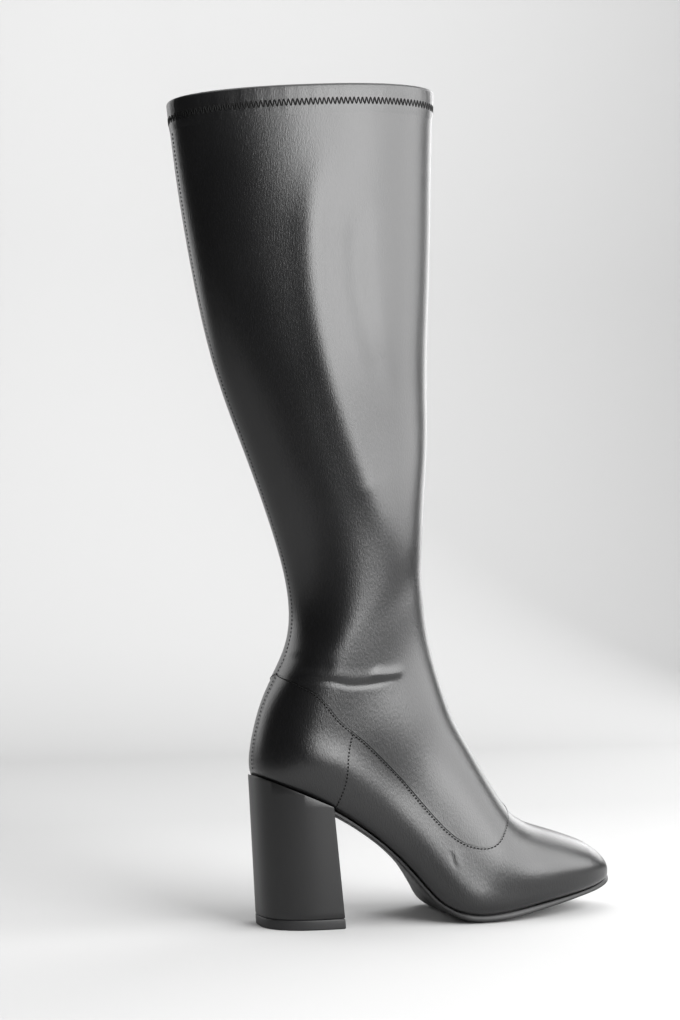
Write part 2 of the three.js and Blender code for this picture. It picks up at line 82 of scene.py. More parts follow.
# lowX, spring, lift, highX, height, outer, inner, shift, widest, lowPower, highPower, arch
FOOT_ROWS = (
    (0.876, 1.01, 0, 0.876, 0.03, 0, 0, 0.048, 0.45, 3, 2.2, 0),
    (0.861, 0.772, 0, 0.862, 0.211, 0.175, 0.169, 0.048, 0.42, 3, 2.2, 0),
    (0.815, 0.606, 0, 0.828, 0.346, 0.301, 0.277, 0.042, 0.38, 3.6, 2.2, 0),
    (0.734, 0.428, 0, 0.764, 0.48, 0.41, 0.38, 0.036, 0.35, 4.2, 2.2, 0),
    (0.627, 0.217, 0, 0.678, 0.626, 0.488, 0.452, 0.024, 0.33, 4.6, 2.2, 0),
    (0.511, 0.017, 0, 0.603, 0.771, 0.518, 0.482, 0, 0.31, 5.6, 2.2, 0),
    (0.41, 0, 0, 0.546, 0.96, 0.518, 0.482, 0, 0.3, 6.5, 2.3, 0.03),
    (0.328, 0, 0.085, 0.5, 1.093, 0.47, 0.434, 0, 0.32, 7, 2.3, 0.22),
    (0.25, 0, 0.315, 0.458, 1.04, 0.41, 0.373, 0, 0.34, 7, 2.3, 0.22),
    (0.15, 0, 0.55, 0.416, 0.987, 0.367, 0.349, 0, 0.38, 7, 2.3, 0.13),
    (0.05, 0, 0.72, 0.385, 1.031, 0.361, 0.361, 0, 0.4, 7, 2.3, 0.04),
    (-0.045, 0, 0.835, 0.361, 1.151, 0.361, 0.367, 0, 0.42, 5.5, 2.2, 0),
    (-0.124, 0, 0.955, 0.342, 1.281, 0.355, 0.361, 0, 0.45, 3, 2.2, 0),
)

# backX, backRise, frontX, frontRise, width, widest, power
LEG_ROWS = (
    (-0.121, 0.061, 0.332, 0.265, 0.415, 0.47, 2.2),
    (-0.086, 0.119, 0.329, 0.307, 0.415, 0.49, 2.1),
    (-0.031, 0.19, 0.332, 0.355, 0.415, 0.5, 2.1),
    (-0.035, 0.277, 0.337, 0.409, 0.423, 0.5, 2.1),
    (-0.086, 0.37, 0.342, 0.474, 0.444, 0.5, 2.1),
    (-0.155, 0.474, 0.344, 0.555, 0.472, 0.5, 2.1),
    (-0.223, 0.579, 0.347, 0.642, 0.5, 0.5, 2.1),
    (-0.279, 0.696, 0.35, 0.747, 0.507, 0.5, 2.1),
    (-0.32, 0.822, 0.356, 0.871, 0.486, 0.5, 2.1),
    (-0.348, 0.948, 0.365, 1, 0.451, 0.5, 2.1),
)

# Seams and zip: row number, degrees down from the top line
SHAFT_SEAM = (
    (14.4, 180), (14.1, 150), (13.4, 125), (12.5, 105), (11.4, 94), (10, 90), (8.5, 88),
    (7.5, 83), (6.8, 75), (6.3, 65), (6.1, 50), (6, 30), (6, 0),
)
COUNTER_SEAM = ((11.4, 94), (10.9, 108), (10.4, 122), (10, 145), (9.8, 180))
ZIP_LINE = (
    (9.15, 119), (9.5, 110), (10.1, 97.5), (10.95, 86.5), (12.45, 79.5), (14.15, 91), (15.75, 105.5),
    (16.7, 104.5),
)

# Levels of the leather below the shaft's face
COUNTER_LEVEL = -0.35
VAMP_LEVEL = -0.7
LINING_FACE = -1.52
LINING_LEVEL = -2.0

# Steps along and round the form over which its directions are measured: rows and degrees
ROW_STEP = 0.02
TURN_STEP = 0.6

# Height above the boot to which a cutter reaches
CUTTER_TOP = 900.0


class Curve:
    """Smooth curve through evenly numbered values, free at both ends."""

    def __init__(self, values: Sequence[float]) -> None:
        """Solves the bends of the curve.

        Args:
            values: the values to pass through.
        """
        v = np.asarray(values, float)
        n = len(v)
        a = np.eye(n)
        r = np.zeros(n)
        for i in range(1, n - 1):
            a[i, i - 1:i + 2] = (1, 4, 1)
            r[i] = 6 * (v[i - 1] - 2 * v[i] + v[i + 1])
        self.values = v
        self.bend = np.linalg.solve(a, r)

    def at(self, number: Array) -> Array:
        """Values at any numbers.

        Args:
            number: numbers along the curve.

        Returns:
            The curve's values there.
        """
        t = np.asarray(number, float)
        i = np.clip(np.floor(t).astype(int), 0, len(self.values) - 2)
        f = t - i
        g = 1 - f
        line = self.values[i] * g + self.values[i + 1] * f
        return line + ((g**3 - g) * self.bend[i] + (f**3 - f) * self.bend[i + 1]) / 6


class BootForm:
    """The boot's outer form, in millimetres: sections from the toe, round the heel, up the leg."""

    def __init__(self) -> None:
        """Turns the tables of shares into smooth columns."""
        rows = []
        for low_x, spring, lift, high_x, height, outer, inner, shift, *rest, arch in FOOT_ROWS:
            low_z = SOLE_BASE + spring * TOE_SPRING + lift * (HEEL_HEIGHT - SOLE_BASE + SEAT_RISE)
            rows.append([low_x * FOOT_LENGTH, low_z, high_x * FOOT_LENGTH, low_z + height * INSTEP_HEIGHT,
                         outer * BALL_WIDTH, inner * BALL_WIDTH, shift * BALL_WIDTH, *rest,
                         arch * INSTEP_HEIGHT])
        for back_x, back_rise, front_x, front_rise, width, widest, power in LEG_ROWS:
            rows.append([back_x * FOOT_LENGTH, HEEL_HEIGHT + back_rise * SHAFT_HEIGHT,
                         front_x * FOOT_LENGTH, HEEL_HEIGHT + front_rise * SHAFT_HEIGHT,
                         width * CALF_WIDTH, width * CALF_WIDTH, 0, widest, power, power, 0])
        second = rows[1]
        mirrored = [second[2], second[3], second[0], second[1], -second[4], -second[5], second[6],
                    1 - second[7], second[8], second[9], second[10]]
        table = np.array([mirrored, *rows], float)
        self.columns = [Curve(table[:, k]) for k in range(table.shape[1])]

    def plain(self, row: Array, angle: Array) -> Array:
        """Points on the surface.

        Args:
            row: row numbers, 0 at the toe and 22 at the collar.
            angle: degrees, 0 inner side, 90 top line, -90 bottom line.

        Returns:
            Points in millimetres, last axis X, Y, Z.
        """
        row, angle = np.broadcast_arrays(np.asarray(row, float), np.asarray(angle, float))
        read = [column.at(row + 1) for column in self.columns]
        low_x, low_z, high_x, high_z, outer, inner, shift, widest, low_power, high_power, arch = read
        c, s = np.cos(np.radians(angle)), np.sin(np.radians(angle))
        power = np.where(s >= 0, high_power, low_power)
        reach = (np.abs(c) ** power + np.abs(s) ** power) ** (-1 / power)
        half = np.where(c >= 0, inner - shift, outer + shift)
        share = widest + np.where(s >= 0, 1 - widest, widest) * reach * s
        lift = arch / 2 * (1 + reach * c) * (1 - share) ** 2
        return np.stack([low_x + (high_x - low_x) * share, shift + half * reach * c,
                         low_z + (high_z - low_z) * share + lift], -1)

    def normal(self, row: Array, angle: Array) -> Array:
        """Outward directions on the surface.

        Args:
            row: row numbers.
            angle: degrees.

        Returns:
            Directions of length 1.
        """
        row = np.maximum(row, 2 * ROW_STEP)
        along = self.plain(row + ROW_STEP, angle) - self.plain(row - ROW_STEP, angle)
        around = self.plain(row, angle + TURN_STEP) - self.plain(row, angle - TURN_STEP)
        out = np.cross(along, around)
        return out / np.linalg.norm(out, axis=-1, keepdims=True)

    def at(self, row: Array, angle: Array, level: Array | float) -> Array:
        """Points at a level above or below the surface."""
        lift = np.broadcast_to(level, np.broadcast_shapes(np.shape(row), np.shape(angle)))
        return self.plain(row, angle) + self.normal(row, angle) * lift[..., None]


FORM = BootForm()


class SurfaceLine:
    """A line drawn on the form from a table of rows and degrees down from the top line."""

    def __init__(self, places: Sequence[tuple[float, float]], side: Side) -> None:
        """Keeps the line's two curves.

        Args:
            places: row and degrees down, from end to end.
            side: the side of the foot that it runs on.
        """
        self.row = Curve([p[0] for p in places])
        self.down = Curve([p[1] for p in places])
        self.side = side
        self.end = len(places) - 1.0

    def angle(self, number: Array) -> Array:
        """Angles on the form at numbers along the line."""
        return 90 - self.side.value * self.down.at(number)

    def even(self, pitch: float, start: float = 0.0, stop: float | None = None) -> Array:
        """Numbers along the line, evenly spaced in millimetres.

        Args:
            pitch: spacing in millimetres.
            start: first number.
            stop: last number, the line's end if left out.

        Returns:
            The numbers.
        """
        fine = np.linspace(start, self.end if stop is None else stop, 800)
        points = FORM.plain(self.row.at(fine), self.angle(fine))
        run = np.concatenate([[0], np.cumsum(np.linalg.norm(np.diff(points, axis=0), axis=1))])
        count = max(int(run[-1] / pitch), 1)
        return np.interp(np.linspace(0, run[-1], count + 1), run, fine)

    def frame(self, number: Array) -> tuple[Array, Array, Array]:
        """Directions at numbers along the line.

        Args:
            number: numbers along the line.

        Returns:
            Directions along the line, across it and outwards.
        """
        step = 0.01
        row, angle = self.row.at(number), self.angle(number)
        out = FORM.normal(row, angle)
        ahead = FORM.plain(self.row.at(number + step), self.angle(number + step))
        ahead = ahead - FORM.plain(row, angle)
        along = ahead - out * np.sum(ahead * out, -1, keepdims=True)
        along /= np.linalg.norm(along, axis=-1, keepdims=True)
        return along, np.cross(along, out), out

    def beside(self, number: Array, offset: Array | float, level: Array | float) -> Array:
        """Points beside the line, on the surface.

        Args:
            number: numbers along the line.
            offset: millimetres across the line.
            level: millimetres above the surface.

        Returns:
            The points, in millimetres.
        """
        row, angle = self.row.at(number), self.angle(number)
        across = self.frame(number)[1]
        here = FORM.plain(row, angle)
        along = (FORM.plain(row + ROW_STEP, angle) - here) / ROW_STEP
        around = (FORM.plain(row, angle + TURN_STEP) - here) / TURN_STEP
        aa, ar, rr = (np.sum(p * q, -1) for p, q in ((along, along), (along, around), (around, around)))
        a_s, r_s = np.sum(along * across, -1), np.sum(around * across, -1)
        whole = aa * rr - ar * ar
        return FORM.at(row + (a_s * rr - r_s * ar) / whole * offset,
                       angle + (r_s * aa - a_s * ar) / whole * offset, level)


@dataclass(frozen=True)
class Fold:
    """A soft trough with ridges beside it, drawn on one side of the leather.

    Attributes:
        places: row and degrees down, from end to end.
        depth: depth of the trough, in millimetres; a negative one is a ridge.
        width: half width of the trough.
        lip: height of the ridge beside it.
        lip_offset: distance of that ridge, above the line if positive.
        lip_width: half width of the ridge.
        sides: sides of the foot that have it.
    """

    places: tuple[tuple[float, float], ...]
    depth: float
    width: float
    lip: float = 0.0
    lip_offset: float = 0.0
    lip_width: float = 1.0
    sides: tuple[Side, ...] = (Side.OUTER, Side.INNER)

    def relief(self, points: Array, outward: Array) -> Array:
        """Change of level that the fold makes.

        Args:
            points: surface points, in millimetres.
            outward: sideways part of the surface's outward direction.

        Returns:
            Millimetres up or down at each point.
        """
        total = np.zeros(len(points))
        for side in self.sides:
            line = SurfaceLine(self.places, side)
            numbers = line.even(2.0)
            path = FORM.plain(line.row.at(numbers), line.angle(numbers))
            # Past this distance the trough and the ridge have no height left
            reach = 4 * max(self.width, abs(self.lip_offset) + self.lip_width)
            near = np.flatnonzero(
                (np.sign(outward) == side.value)
                & np.all(points > path.min(0) - reach, axis=1)
                & np.all(points < path.max(0) + reach, axis=1)
            )
            if not len(near):
                continue
            flat, curve = points[near][:, (0, 2)], path[:, (0, 2)]
            start, step = curve[:-1], np.diff(curve, axis=0)
            share = np.clip(np.einsum("nsk,sk->ns", flat[:, None] - start, step)
                            / np.sum(step * step, axis=1), 0, 1)
            gap = flat[:, None] - (start + share[..., None] * step)
            distance = np.linalg.norm(gap, axis=2)
            best = np.argmin(distance, axis=1)
            pick = np.arange(len(flat))
            along = (best + share[pick, best]) / len(step)
            # The fold is full in its middle and runs out at both ends
            fade = np.clip(1.6 * np.sin(np.pi * np.clip(along, 0, 1)), 0, 1) ** 1.5
            cross = step[best, 0] * gap[pick, best, 1] - step[best, 1] * gap[pick, best, 0]
            signed = distance[pick, best] * np.sign(cross)
            trough = -self.depth * np.exp(-((signed / self.width) ** 2))
            ridge = self.lip * np.exp(-(((signed - self.lip_offset) / self.lip_width) ** 2))
            total[near] += (trough + ridge) * fade
        return total


ONLY_OUTER = (Side.OUTER,)
ONLY_INNER = (Side.INNER,)


def pucker(places: tuple[tuple[float, float], ...], depth: float, width: float, lip: float,
           lip_offset: float = 5.0) -> Fold:
    """A short fold that the stiff zip makes in the soft leather beside it.

    Args:
        places: row and degrees down, from end to end.
        depth: depth of the trough, in millimetres.
        width: half width of the trough.
        lip: height of the ridge beside it.
        lip_offset: distance of that ridge.

    Returns:
        The fold, on the inner side only.
    """
    return Fold(places, depth, width, lip, lip_offset, lip_width=3.0, sides=ONLY_INNER)


LONG_RIDGE = ((21.5, 85), (20.5, 99), (19.2, 102), (17.8, 97), (16.2, 84), (14.3, 60))

FOLDS = (
    # Crease over the ankle, the soft trough above it and the crest at its front end
    Fold(((14.3, 155), (13.4, 118), (12.4, 86), (11.5, 58)), 0.55, 1.35, lip=0.15, lip_offset=4.5,
         lip_width=3.2, sides=ONLY_OUTER),
    Fold(((14.8, 170), (14.3, 140), (13.2, 100)), 0.5, 4.5, sides=ONLY_OUTER),
    Fold(((12.4, 78), (11.9, 65), (11.6, 55)), -0.7, 2.6, sides=ONLY_OUTER),
    # Short crease of the vamp
    Fold(((7.5, 92), (7.35, 97), (7.2, 102)), 0.22, 1.3, lip=0.15, lip_offset=2.2, lip_width=1.8),
    # Fullness of the counter and the vamp below the shaft's seam
    Fold(((13.2, 138), (11.4, 118), (9.4, 114), (7.4, 110), (5.8, 118), (4.2, 120)), -1.6, 11.0),
    # Fullness of the toe's top
    Fold(((6, 8), (4.5, 9), (3, 16), (1.2, 38)), -1.4, 12.0),
    # Waist tucked in beside the arch
    Fold(((8.6, 146), (7.2, 147), (5.9, 150)), 2.1, 9.0, sides=ONLY_INNER),
    # Long ridge that parts the shaft's dark back from its lit front, narrow on broad
    Fold(LONG_RIDGE, -1.2, 9.0),
    Fold(LONG_RIDGE, -1.3, 20.0),
    # Shallow trough in the lit front of the shaft
    Fold(((20.8, 74), (19.6, 79), (17.9, 66)), 0.9, 8.0),
    # Puckers beside the zip
    pucker(((15.2, 86), (15.1, 76), (14.9, 66)), 0.7, 2.6, 0.5),
    pucker(((13.6, 74), (13.3, 64), (13.0, 54)), 0.8, 2.8, 0.6),
    pucker(((12.0, 68), (11.8, 58), (11.6, 50)), 0.6, 2.6, 0.4, lip_offset=4.5),
    pucker(((14.7, 110), (14.9, 121), (15.2, 133)), 0.7, 2.6, 0.5),
    pucker(((13.2, 98), (13.5, 110), (13.9, 124)), 0.8, 2.8, 0.6),
)


def leather_relief(row: Array, angle: Array) -> Array:
    """Folds and slow waves of the worn-in leather, in millimetres.

    Args:
        row: row numbers.
        angle: angles on the form.

    Returns:
        Change of level at each place.
    """
    shape = np.broadcast_shapes(np.shape(row), np.shape(angle))
    rows, angles = np.broadcast_to(row, shape).ravel(), np.broadcast_to(angle, shape).ravel()
    points = FORM.plain(rows, angles)
    outward = np.cos(np.radians(angles))
    total = sum(fold.relief(points, outward) for fold in FOLDS)
    ankle_row, fade_rows = 14, 3
    leg = np.clip((rows - ankle_row) / fade_rows, 0, 1)
    around = np.radians(angles)
    broad, narrow = 0.55, 0.25
    wave = broad * np.sin(0.9 * rows + 1.5 * np.sin(around) + 0.6) * np.cos(2 * around + 0.4 * rows)
    wave += narrow * np.sin(2.3 * rows + 3 * around)
    return (total + leg * wave).reshape(shape)


class MeshTools:
    """Helpers that turn arrays of millimetres into finished objects."""

    @staticmethod
    def make(name: str, points: Array, faces: Sequence[Sequence[int]]) -> bpy.types.Object:
        """An object from points in millimetres and faces.

        Args:
            name: the piece's name.
            points: corner points.
            faces: corner numbers of each face.

        Returns:
            The new object.
        """
        mesh = bpy.data.meshes.new(name)
        mesh.from_pydata((np.asarray(points) * MM).tolist(), [], [list(map(int, f)) for f in faces])
        mesh.update()
        body = bpy.data.objects.new(name, mesh)
        bpy.context.scene.collection.objects.link(body)
        return body

    @staticmethod
    def closed_grid(name: str, rings: Array, tip: Array | None = None) -> bpy.types.Object:
        """A closed solid from rings of points, with flat ends or a pointed start.

        Args:
            name: the piece's name.
            rings: array of rings by points by XYZ.
            tip: a single start point in place of the first ring's flat end.

        Returns:
            The new object, its faces outwards.
        """
        count, around = rings.shape[:2]
        points = list(rings.reshape(-1, 3))
        i, j = np.meshgrid(np.arange(count - 1), np.arange(around), indexing="ij")
        k = (j + 1) % around
        quads = np.stack([i * around + j, (i + 1) * around + j, (i + 1) * around + k, i * around + k], -1)
        faces = quads.reshape(-1, 4).tolist()
        ends = [rings[0].mean(0) if tip is None else tip, rings[-1].mean(0)]
        base = len(points)
        points += ends
        last = (count - 1) * around
        for j in range(around):
            k = (j + 1) % around
            faces.append((base, j, k))
            faces.append((base + 1, last + k, last + j))
        body = MeshTools.make(name, np.array(points), faces)
        MeshTools.face_out(body)
        return body

    @staticmethod
    def face_out(body: bpy.types.Object) -> None:
        """Turns all the faces of a closed object outwards.

        Args:
            body: the object.
        """
        work = bmesh.new()
        work.from_mesh(body.data)
        bmesh.ops.recalc_face_normals(work, faces=work.faces)
        if work.calc_volume(signed=True) < 0:
            bmesh.ops.reverse_faces(work, faces=work.faces)
        work.to_mesh(body.data)
        work.free()

    @staticmethod
    def select(body: bpy.types.Object) -> None:
        """Selects one object and nothing else.

        Args:
            body: the object.
        """
        bpy.ops.object.select_all(action="DESELECT")
        body.select_set(True)
        bpy.context.view_layer.objects.active = body

    @staticmethod
    def combine(body: bpy.types.Object, other: bpy.types.Object, operation: str) -> None:
        """Cuts or keeps a body by another, which is then removed.

        Args:
            body: the object that stays.
            other: the cutter.
            operation: DIFFERENCE, INTERSECT or UNION.
        """
        modifier = body.modifiers.new("cut", "BOOLEAN")
        modifier.operation = operation
        modifier.solver = "MANIFOLD"
        modifier.object = other
        MeshTools.select(body)
        bpy.ops.object.modifier_apply(modifier=modifier.name)
        bpy.data.objects.remove(other, do_unlink=True)

    @staticmethod
    def bevel(body: bpy.types.Object, width: float, segments: int, limit: float = 40) -> None:
        """Rounds the sharp edges of an object.

        Args:
            body: the object.
            width: the bevel's width, in millimetres.
            segments: faces across the bevel.
            limit: least angle of an edge that is rounded, in degrees.
        """
        modifier = body.modifiers.new("rounding", "BEVEL")
        modifier.width = width * MM
        modifier.segments = segments
        modifier.limit_method = "ANGLE"
        modifier.angle_limit = math.radians(limit)
        MeshTools.select(body)
        bpy.ops.object.modifier_apply(modifier=modifier.name)

    @staticmethod
    def smooth(body: bpy.types.Object, angle: float = 35) -> None:
        """Shades an object smooth, except across sharp edges."""
        MeshTools.select(body)
        bpy.ops.object.shade_smooth_by_angle(angle=math.radians(angle))

    @staticmethod
    def across(name: str, outline: Array) -> bpy.types.Object:
        """A block across the whole boot.

        Args:
            name: the piece's name.
            outline: its outline in X and Z, in millimetres.

        Returns:
            The block.
        """
        wide = 200.0
        count = len(outline)
        near = np.c_[outline[:, 0], np.full(count, -wide), outline[:, 1]]
        far = near + (0, 2 * wide, 0)
        ring = np.arange(count)
        faces = [ring.tolist(), (ring + count)[::-1].tolist()]
        faces += [(i, (i + 1) % count, (i + 1) % count + count, i + count) for i in range(count)]
        body = MeshTools.make(name, np.vstack([near, far]), faces)
        MeshTools.face_out(body)
        MeshTools.select(body)
        modifier = body.modifiers.new("faces", "TRIANGULATE")
        bpy.ops.object.modifier_apply(modifier=modifier.name)
        return body

    @staticmethod
    def scatter(name: str, unit: tuple[Array, list], places: Array, axes: Array) -> bpy.types.Object:
        """Many copies of a small shape as one mesh.

        Args:
            name: the piece's name.
            unit: points and faces of the small shape, in millimetres.
            places: origin of each copy.
            axes: three directions of each copy, as rows.

        Returns:
            The joined object.
        """
        points, faces = unit
        copies = places[:, None] + np.einsum("pk,nkx->npx", points, axes)
        size = len(points)
        every = [[v + size * i for v in f] for i in range(len(places)) for f in faces]
        return MeshTools.make(name, copies.reshape(-1, 3), every)

    @staticmethod
    def capsule(length: float, width: float, height: float, sides: int = 6) -> tuple[Array, list]:
        """A small rounded bar lying along its first axis.

        Args:
            length: its length, in millimetres.
            width: its width.
            height: its height.
            sides: faces round it.

        Returns:
            Its points and faces.
        """
        stations = ((-0.5, 0.35), (-0.38, 0.85), (0, 1.0), (0.38, 0.85), (0.5, 0.35))
        points, faces = [], []
        for share, size in stations:
            for j in range(sides):
                turn = 2 * math.pi * j / sides
                points.append((share * length, 0.5 * width * size * math.cos(turn),
                               0.5 * height * size * math.sin(turn)))
        for i in range(len(stations) - 1):
            for j in range(sides):
                k = (j + 1) % sides
                faces.append((i * sides + j, i * sides + k, (i + 1) * sides + k, (i + 1) * sides + j))
        last = (len(stations) - 1) * sides
        faces.append(tuple(range(sides))[::-1])
        faces.append(tuple(range(last, last + sides)))
        return np.array(points), faces


@dataclass(frozen=True)
class Finish:
    """A procedural finish for one kind of surface.

    Attributes:
        name: the finish's name.
        colour: main colour, linear.
        second: colour of its slow and fine variation.
        roughness: roughness in smooth places.
        roughness_spread: how much rougher it gets in patches.
        grain: spacing of the fine grain, in millimetres.
        grain_height: height of that grain.
        stretch: how much longer the grain is along Z than across.
        patches: slow patches of tone and roughness in a metre.
        metallic: share of metal.
        coat: weight of a clear coat.
        coat_roughness: roughness of that coat.
        sheen: weight of a cloth sheen.
        specular: strength of the mirror reflection.
    """

    name: str
    colour: tuple[float, float, float]
    second: tuple[float, float, float]
    roughness: float = 0.5
    roughness_spread: float = 0.1
    grain: float = 0.8
    grain_height: float = 0.05
    stretch: float = 1.0
    patches: float = 28.0
    metallic: float = 0.0
    coat: float = 0.0
    coat_roughness: float = 0.2
    sheen: float = 0.0
    specular: float = 0.5

    def build(self) -> bpy.types.Material:
        """Builds the material's nodes.

        Returns:
            The material.
        """
        material = bpy.data.materials.new(self.name)
        material.use_nodes = True
        tree = material.node_tree
        shader = tree.nodes["Principled BSDF"]
        shader.inputs["Metallic"].default_value = self.metallic
        shader.inputs["Coat Weight"].default_value = self.coat
        shader.inputs["Coat Roughness"].default_value = self.coat_roughness
        shader.inputs["Sheen Weight"].default_value = self.sheen
        shader.inputs["Specular IOR Level"].default_value = self.specular
        place = tree.nodes.new("ShaderNodeTexCoord")
        mapping = tree.nodes.new("ShaderNodeMapping")
        mapping.inputs["Scale"].default_value = (1, 1, 1 / self.stretch)
        tree.links.new(place.outputs["Object"], mapping.inputs["Vector"])

        def noise(scale: float, detail: float, rough: float) -> bpy.types.Node:
            """A noise texture on the stretched place.

            Args:
                scale: features a metre.
                detail: octaves.
                rough: strength of the finer octaves.

            Returns:
                The texture's node.
            """
            node = tree.nodes.new("ShaderNodeTexNoise")
            node.inputs["Scale"].default_value = scale
            node.inputs["Detail"].default_value = detail
            node.inputs["Roughness"].default_value = rough
            tree.links.new(mapping.outputs["Vector"], node.inputs["Vector"])
            return node

        fine = noise(1 / (self.grain * MM), 3, 0.6)
        slow = noise(self.patches, 2, 0.5)
        mix = tree.nodes.new("ShaderNodeMix")
        mix.data_type = "RGBA"
        mix.inputs["A"].default_value = (*self.colour, 1)
        mix.inputs["B"].default_value = (*self.second, 1)
        blend = tree.nodes.new("ShaderNodeMath")
        blend.operation = "MULTIPLY"
        tree.links.new(fine.outputs["Fac"], blend.inputs[0])
        tree.links.new(slow.outputs["Fac"], blend.inputs[1])
        tree.links.new(blend.outputs["Value"], mix.inputs["Factor"])
        tree.links.new(mix.outputs["Result"], shader.inputs["Base Color"])
        spread = tree.nodes.new("ShaderNodeMapRange")
        spread.inputs["To Min"].default_value = self.roughness - 0.5 * self.roughness_spread
        spread.inputs["To Max"].default_value = self.roughness + 1.5 * self.roughness_spread
        tree.links.new(slow.outputs["Fac"], spread.inputs["Value"])
        tree.links.new(spread.outputs["Result"], shader.inputs["Roughness"])
        bump = tree.nodes.new("ShaderNodeBump")
        bump.inputs["Strength"].default_value = 1.0
        bump.inputs["Distance"].default_value = self.grain_height * MM
        tree.links.new(fine.outputs["Fac"], bump.inputs["Height"])
        tree.links.new(bump.outputs["Normal"], shader.inputs["Normal"])
        return material


LEATHER = Finish("black_leather", (0.003, 0.003, 0.0033), (0.008, 0.008, 0.0085), 0.27, 0.06, 0.8,
                 0.12, 2.6, specular=0.55, coat=0.08, coat_roughness=0.2)
COVER = Finish("heel_cover", (0.004, 0.004, 0.0042), (0.009, 0.009, 0.0095), 0.36, 0.06, 0.6, 0.04,
               1.6, specular=0.5)
RUBBER = Finish("sole_rubber", (0.006, 0.006, 0.0063), (0.012, 0.012, 0.0125), 0.5, 0.08, 1.0, 0.05)
TIP = Finish("tip_rubber", (0.009, 0.009, 0.0095), (0.016, 0.016, 0.017), 0.5, 0.06, 0.7, 0.04)
LINING = Finish("lining", (0.012, 0.0115, 0.0115), (0.028, 0.027, 0.0265), 0.85, 0.08, 0.7, 0.12,
                sheen=0.1)
SOCK = Finish("sock", (0.02, 0.019, 0.018), (0.035, 0.033, 0.032), 0.7, 0.08, 0.9, 0.08)
THREAD = Finish("thread", (0.0012, 0.0012, 0.0012), (0.003, 0.003, 0.003), 0.6, 0.1, 0.25, 0.05,
                specular=0.15)
TAPE = Finish("zip_tape", (0.005, 0.005, 0.0055), (0.014, 0.014, 0.0145), 0.85, 0.1, 0.45, 0.12,
              sheen=0.08)
COIL = Finish("zip_coil", (0.006, 0.006, 0.0065), (0.012, 0.012, 0.0125), 0.4, 0.08, 0.5, 0.02)
DARK_METAL = Finish("dark_metal", (0.02, 0.02, 0.021), (0.035, 0.035, 0.036), 0.3, 0.08, 0.8, 0.02,
                    metallic=0.7)
BARE_METAL = Finish("bare_metal", (0.3, 0.3, 0.31), (0.4, 0.4, 0.41), 0.35, 0.1, 0.8, 0.02, metallic=1.0)


class Wardrobe:
    """Builds each finish once and dresses pieces in it."""

    def __init__(self) -> None:
        """Starts with no material built."""
        self.built: dict[str, bpy.types.Material] = {}

    def cloth(self, finish: Finish) -> bpy.types.Material:
        """The material of a finish, built when it is first asked for.

        Args:
            finish: the finish.

        Returns:
            Its material.
        """
        if finish.name not in self.built:
            self.built[finish.name] = finish.build()
        return self.built[finish.name]

    def dress(self, body: bpy.types.Object, finish: Finish) -> None:
        """Gives a piece one finish in place of any that it has."""
        body.data.materials.clear()
        body.data.materials.append(self.cloth(finish))

    def refit(self, body: bpy.types.Object, finish: Finish) -> None:
        """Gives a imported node's slots a finish and leaves its mesh alone.

        Args:
            body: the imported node.
            finish: its finish.
        """
        for slot in body.material_slots:
            slot.material = self.cloth(finish)


WARDROBE = Wardrobe()


def settle(body: bpy.types.Object, finish: Finish, ride: str = BOOT,
           nodes: Sequence[str] = ()) -> None:
    """Dresses a finished piece, fixes it to its body and reports it.

    Args:
        body: the piece.
        finish: its finish.
        ride: the body that it moves with.
        nodes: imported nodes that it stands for.
    """
    WARDROBE.dress(body, finish)
    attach(body, ride)
    if nodes:
        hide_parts(*nodes)
    LOG.info("%s: %d faces", body.name, len(body.data.polygons))


def ring_rows(start: float, stop: float, pitch: float,
              dense: Sequence[tuple[float, float, float]] = ()) -> Array:
    """Row numbers evenly spaced along the form's length.

    Args:
        start: first row.
        stop: last row.
        pitch: spacing in millimetres.
        dense: runs of rows with a finer spacing: first, last and factor.

    Returns:
        The row numbers.
    """
    fine = np.linspace(start, stop, 3000)
    paths = [FORM.plain(fine, np.full_like(fine, a)) for a in (90.0, -90.0, 180.0)]
    step = sum(np.linalg.norm(np.diff(p, axis=0), axis=1) for p in paths) / len(paths)
    middle = (fine[1:] + fine[:-1]) / 2
    for low, high, factor in dense:
        step = np.where((middle > low) & (middle < high), step * factor, step)
    run = np.concatenate([[0], np.cumsum(step)])
    count = int(run[-1] / pitch)
    return np.interp(np.linspace(0, run[-1], count + 1), run, fine)


def clear_tip(rows: Array, least: float) -> Array:
    """Rows without those that crowd together at the toe's tip."""
    return rows[(rows == 0) | (rows > least)]


def tube(name: str, rows: Array, around: int, level: Level) -> bpy.types.Object:
    """The whole form between two rows as one closed solid.

    Args:
        name: the piece's name.
        rows: row numbers of the rings.
        around: points in each ring.
        level: level of the surface at rows and angles.

    Returns:
        The solid.
    """
    angles = -90 + 360 * (np.arange(around) + 0.5) / around
    row, angle = np.meshgrid(rows[rows > 0], angles, indexing="ij")
    rings = FORM.at(row, angle, level(row, angle))
    tip = None
    if rows[0] <= 0:
        tip = FORM.plain(0.0, 0.0) + (float(level(np.zeros((1, 1)), np.zeros((1, 1)))[0, 0]), 0, 0)
    return MeshTools.closed_grid(name, rings, tip)


def seam_outline(places: Sequence[tuple[float, float]]) -> Array:
    """A seam on the outer side, seen square from that side.

    Args:
        places: the seam's rows and degrees down.

    Returns:
        X and Z along it, finely drawn.
    """
    line = SurfaceLine(places, Side.OUTER)
    numbers = np.linspace(0, line.end, 12 * len(places))
    return FORM.plain(line.row.at(numbers), line.angle(numbers))[:, (0, 2)]


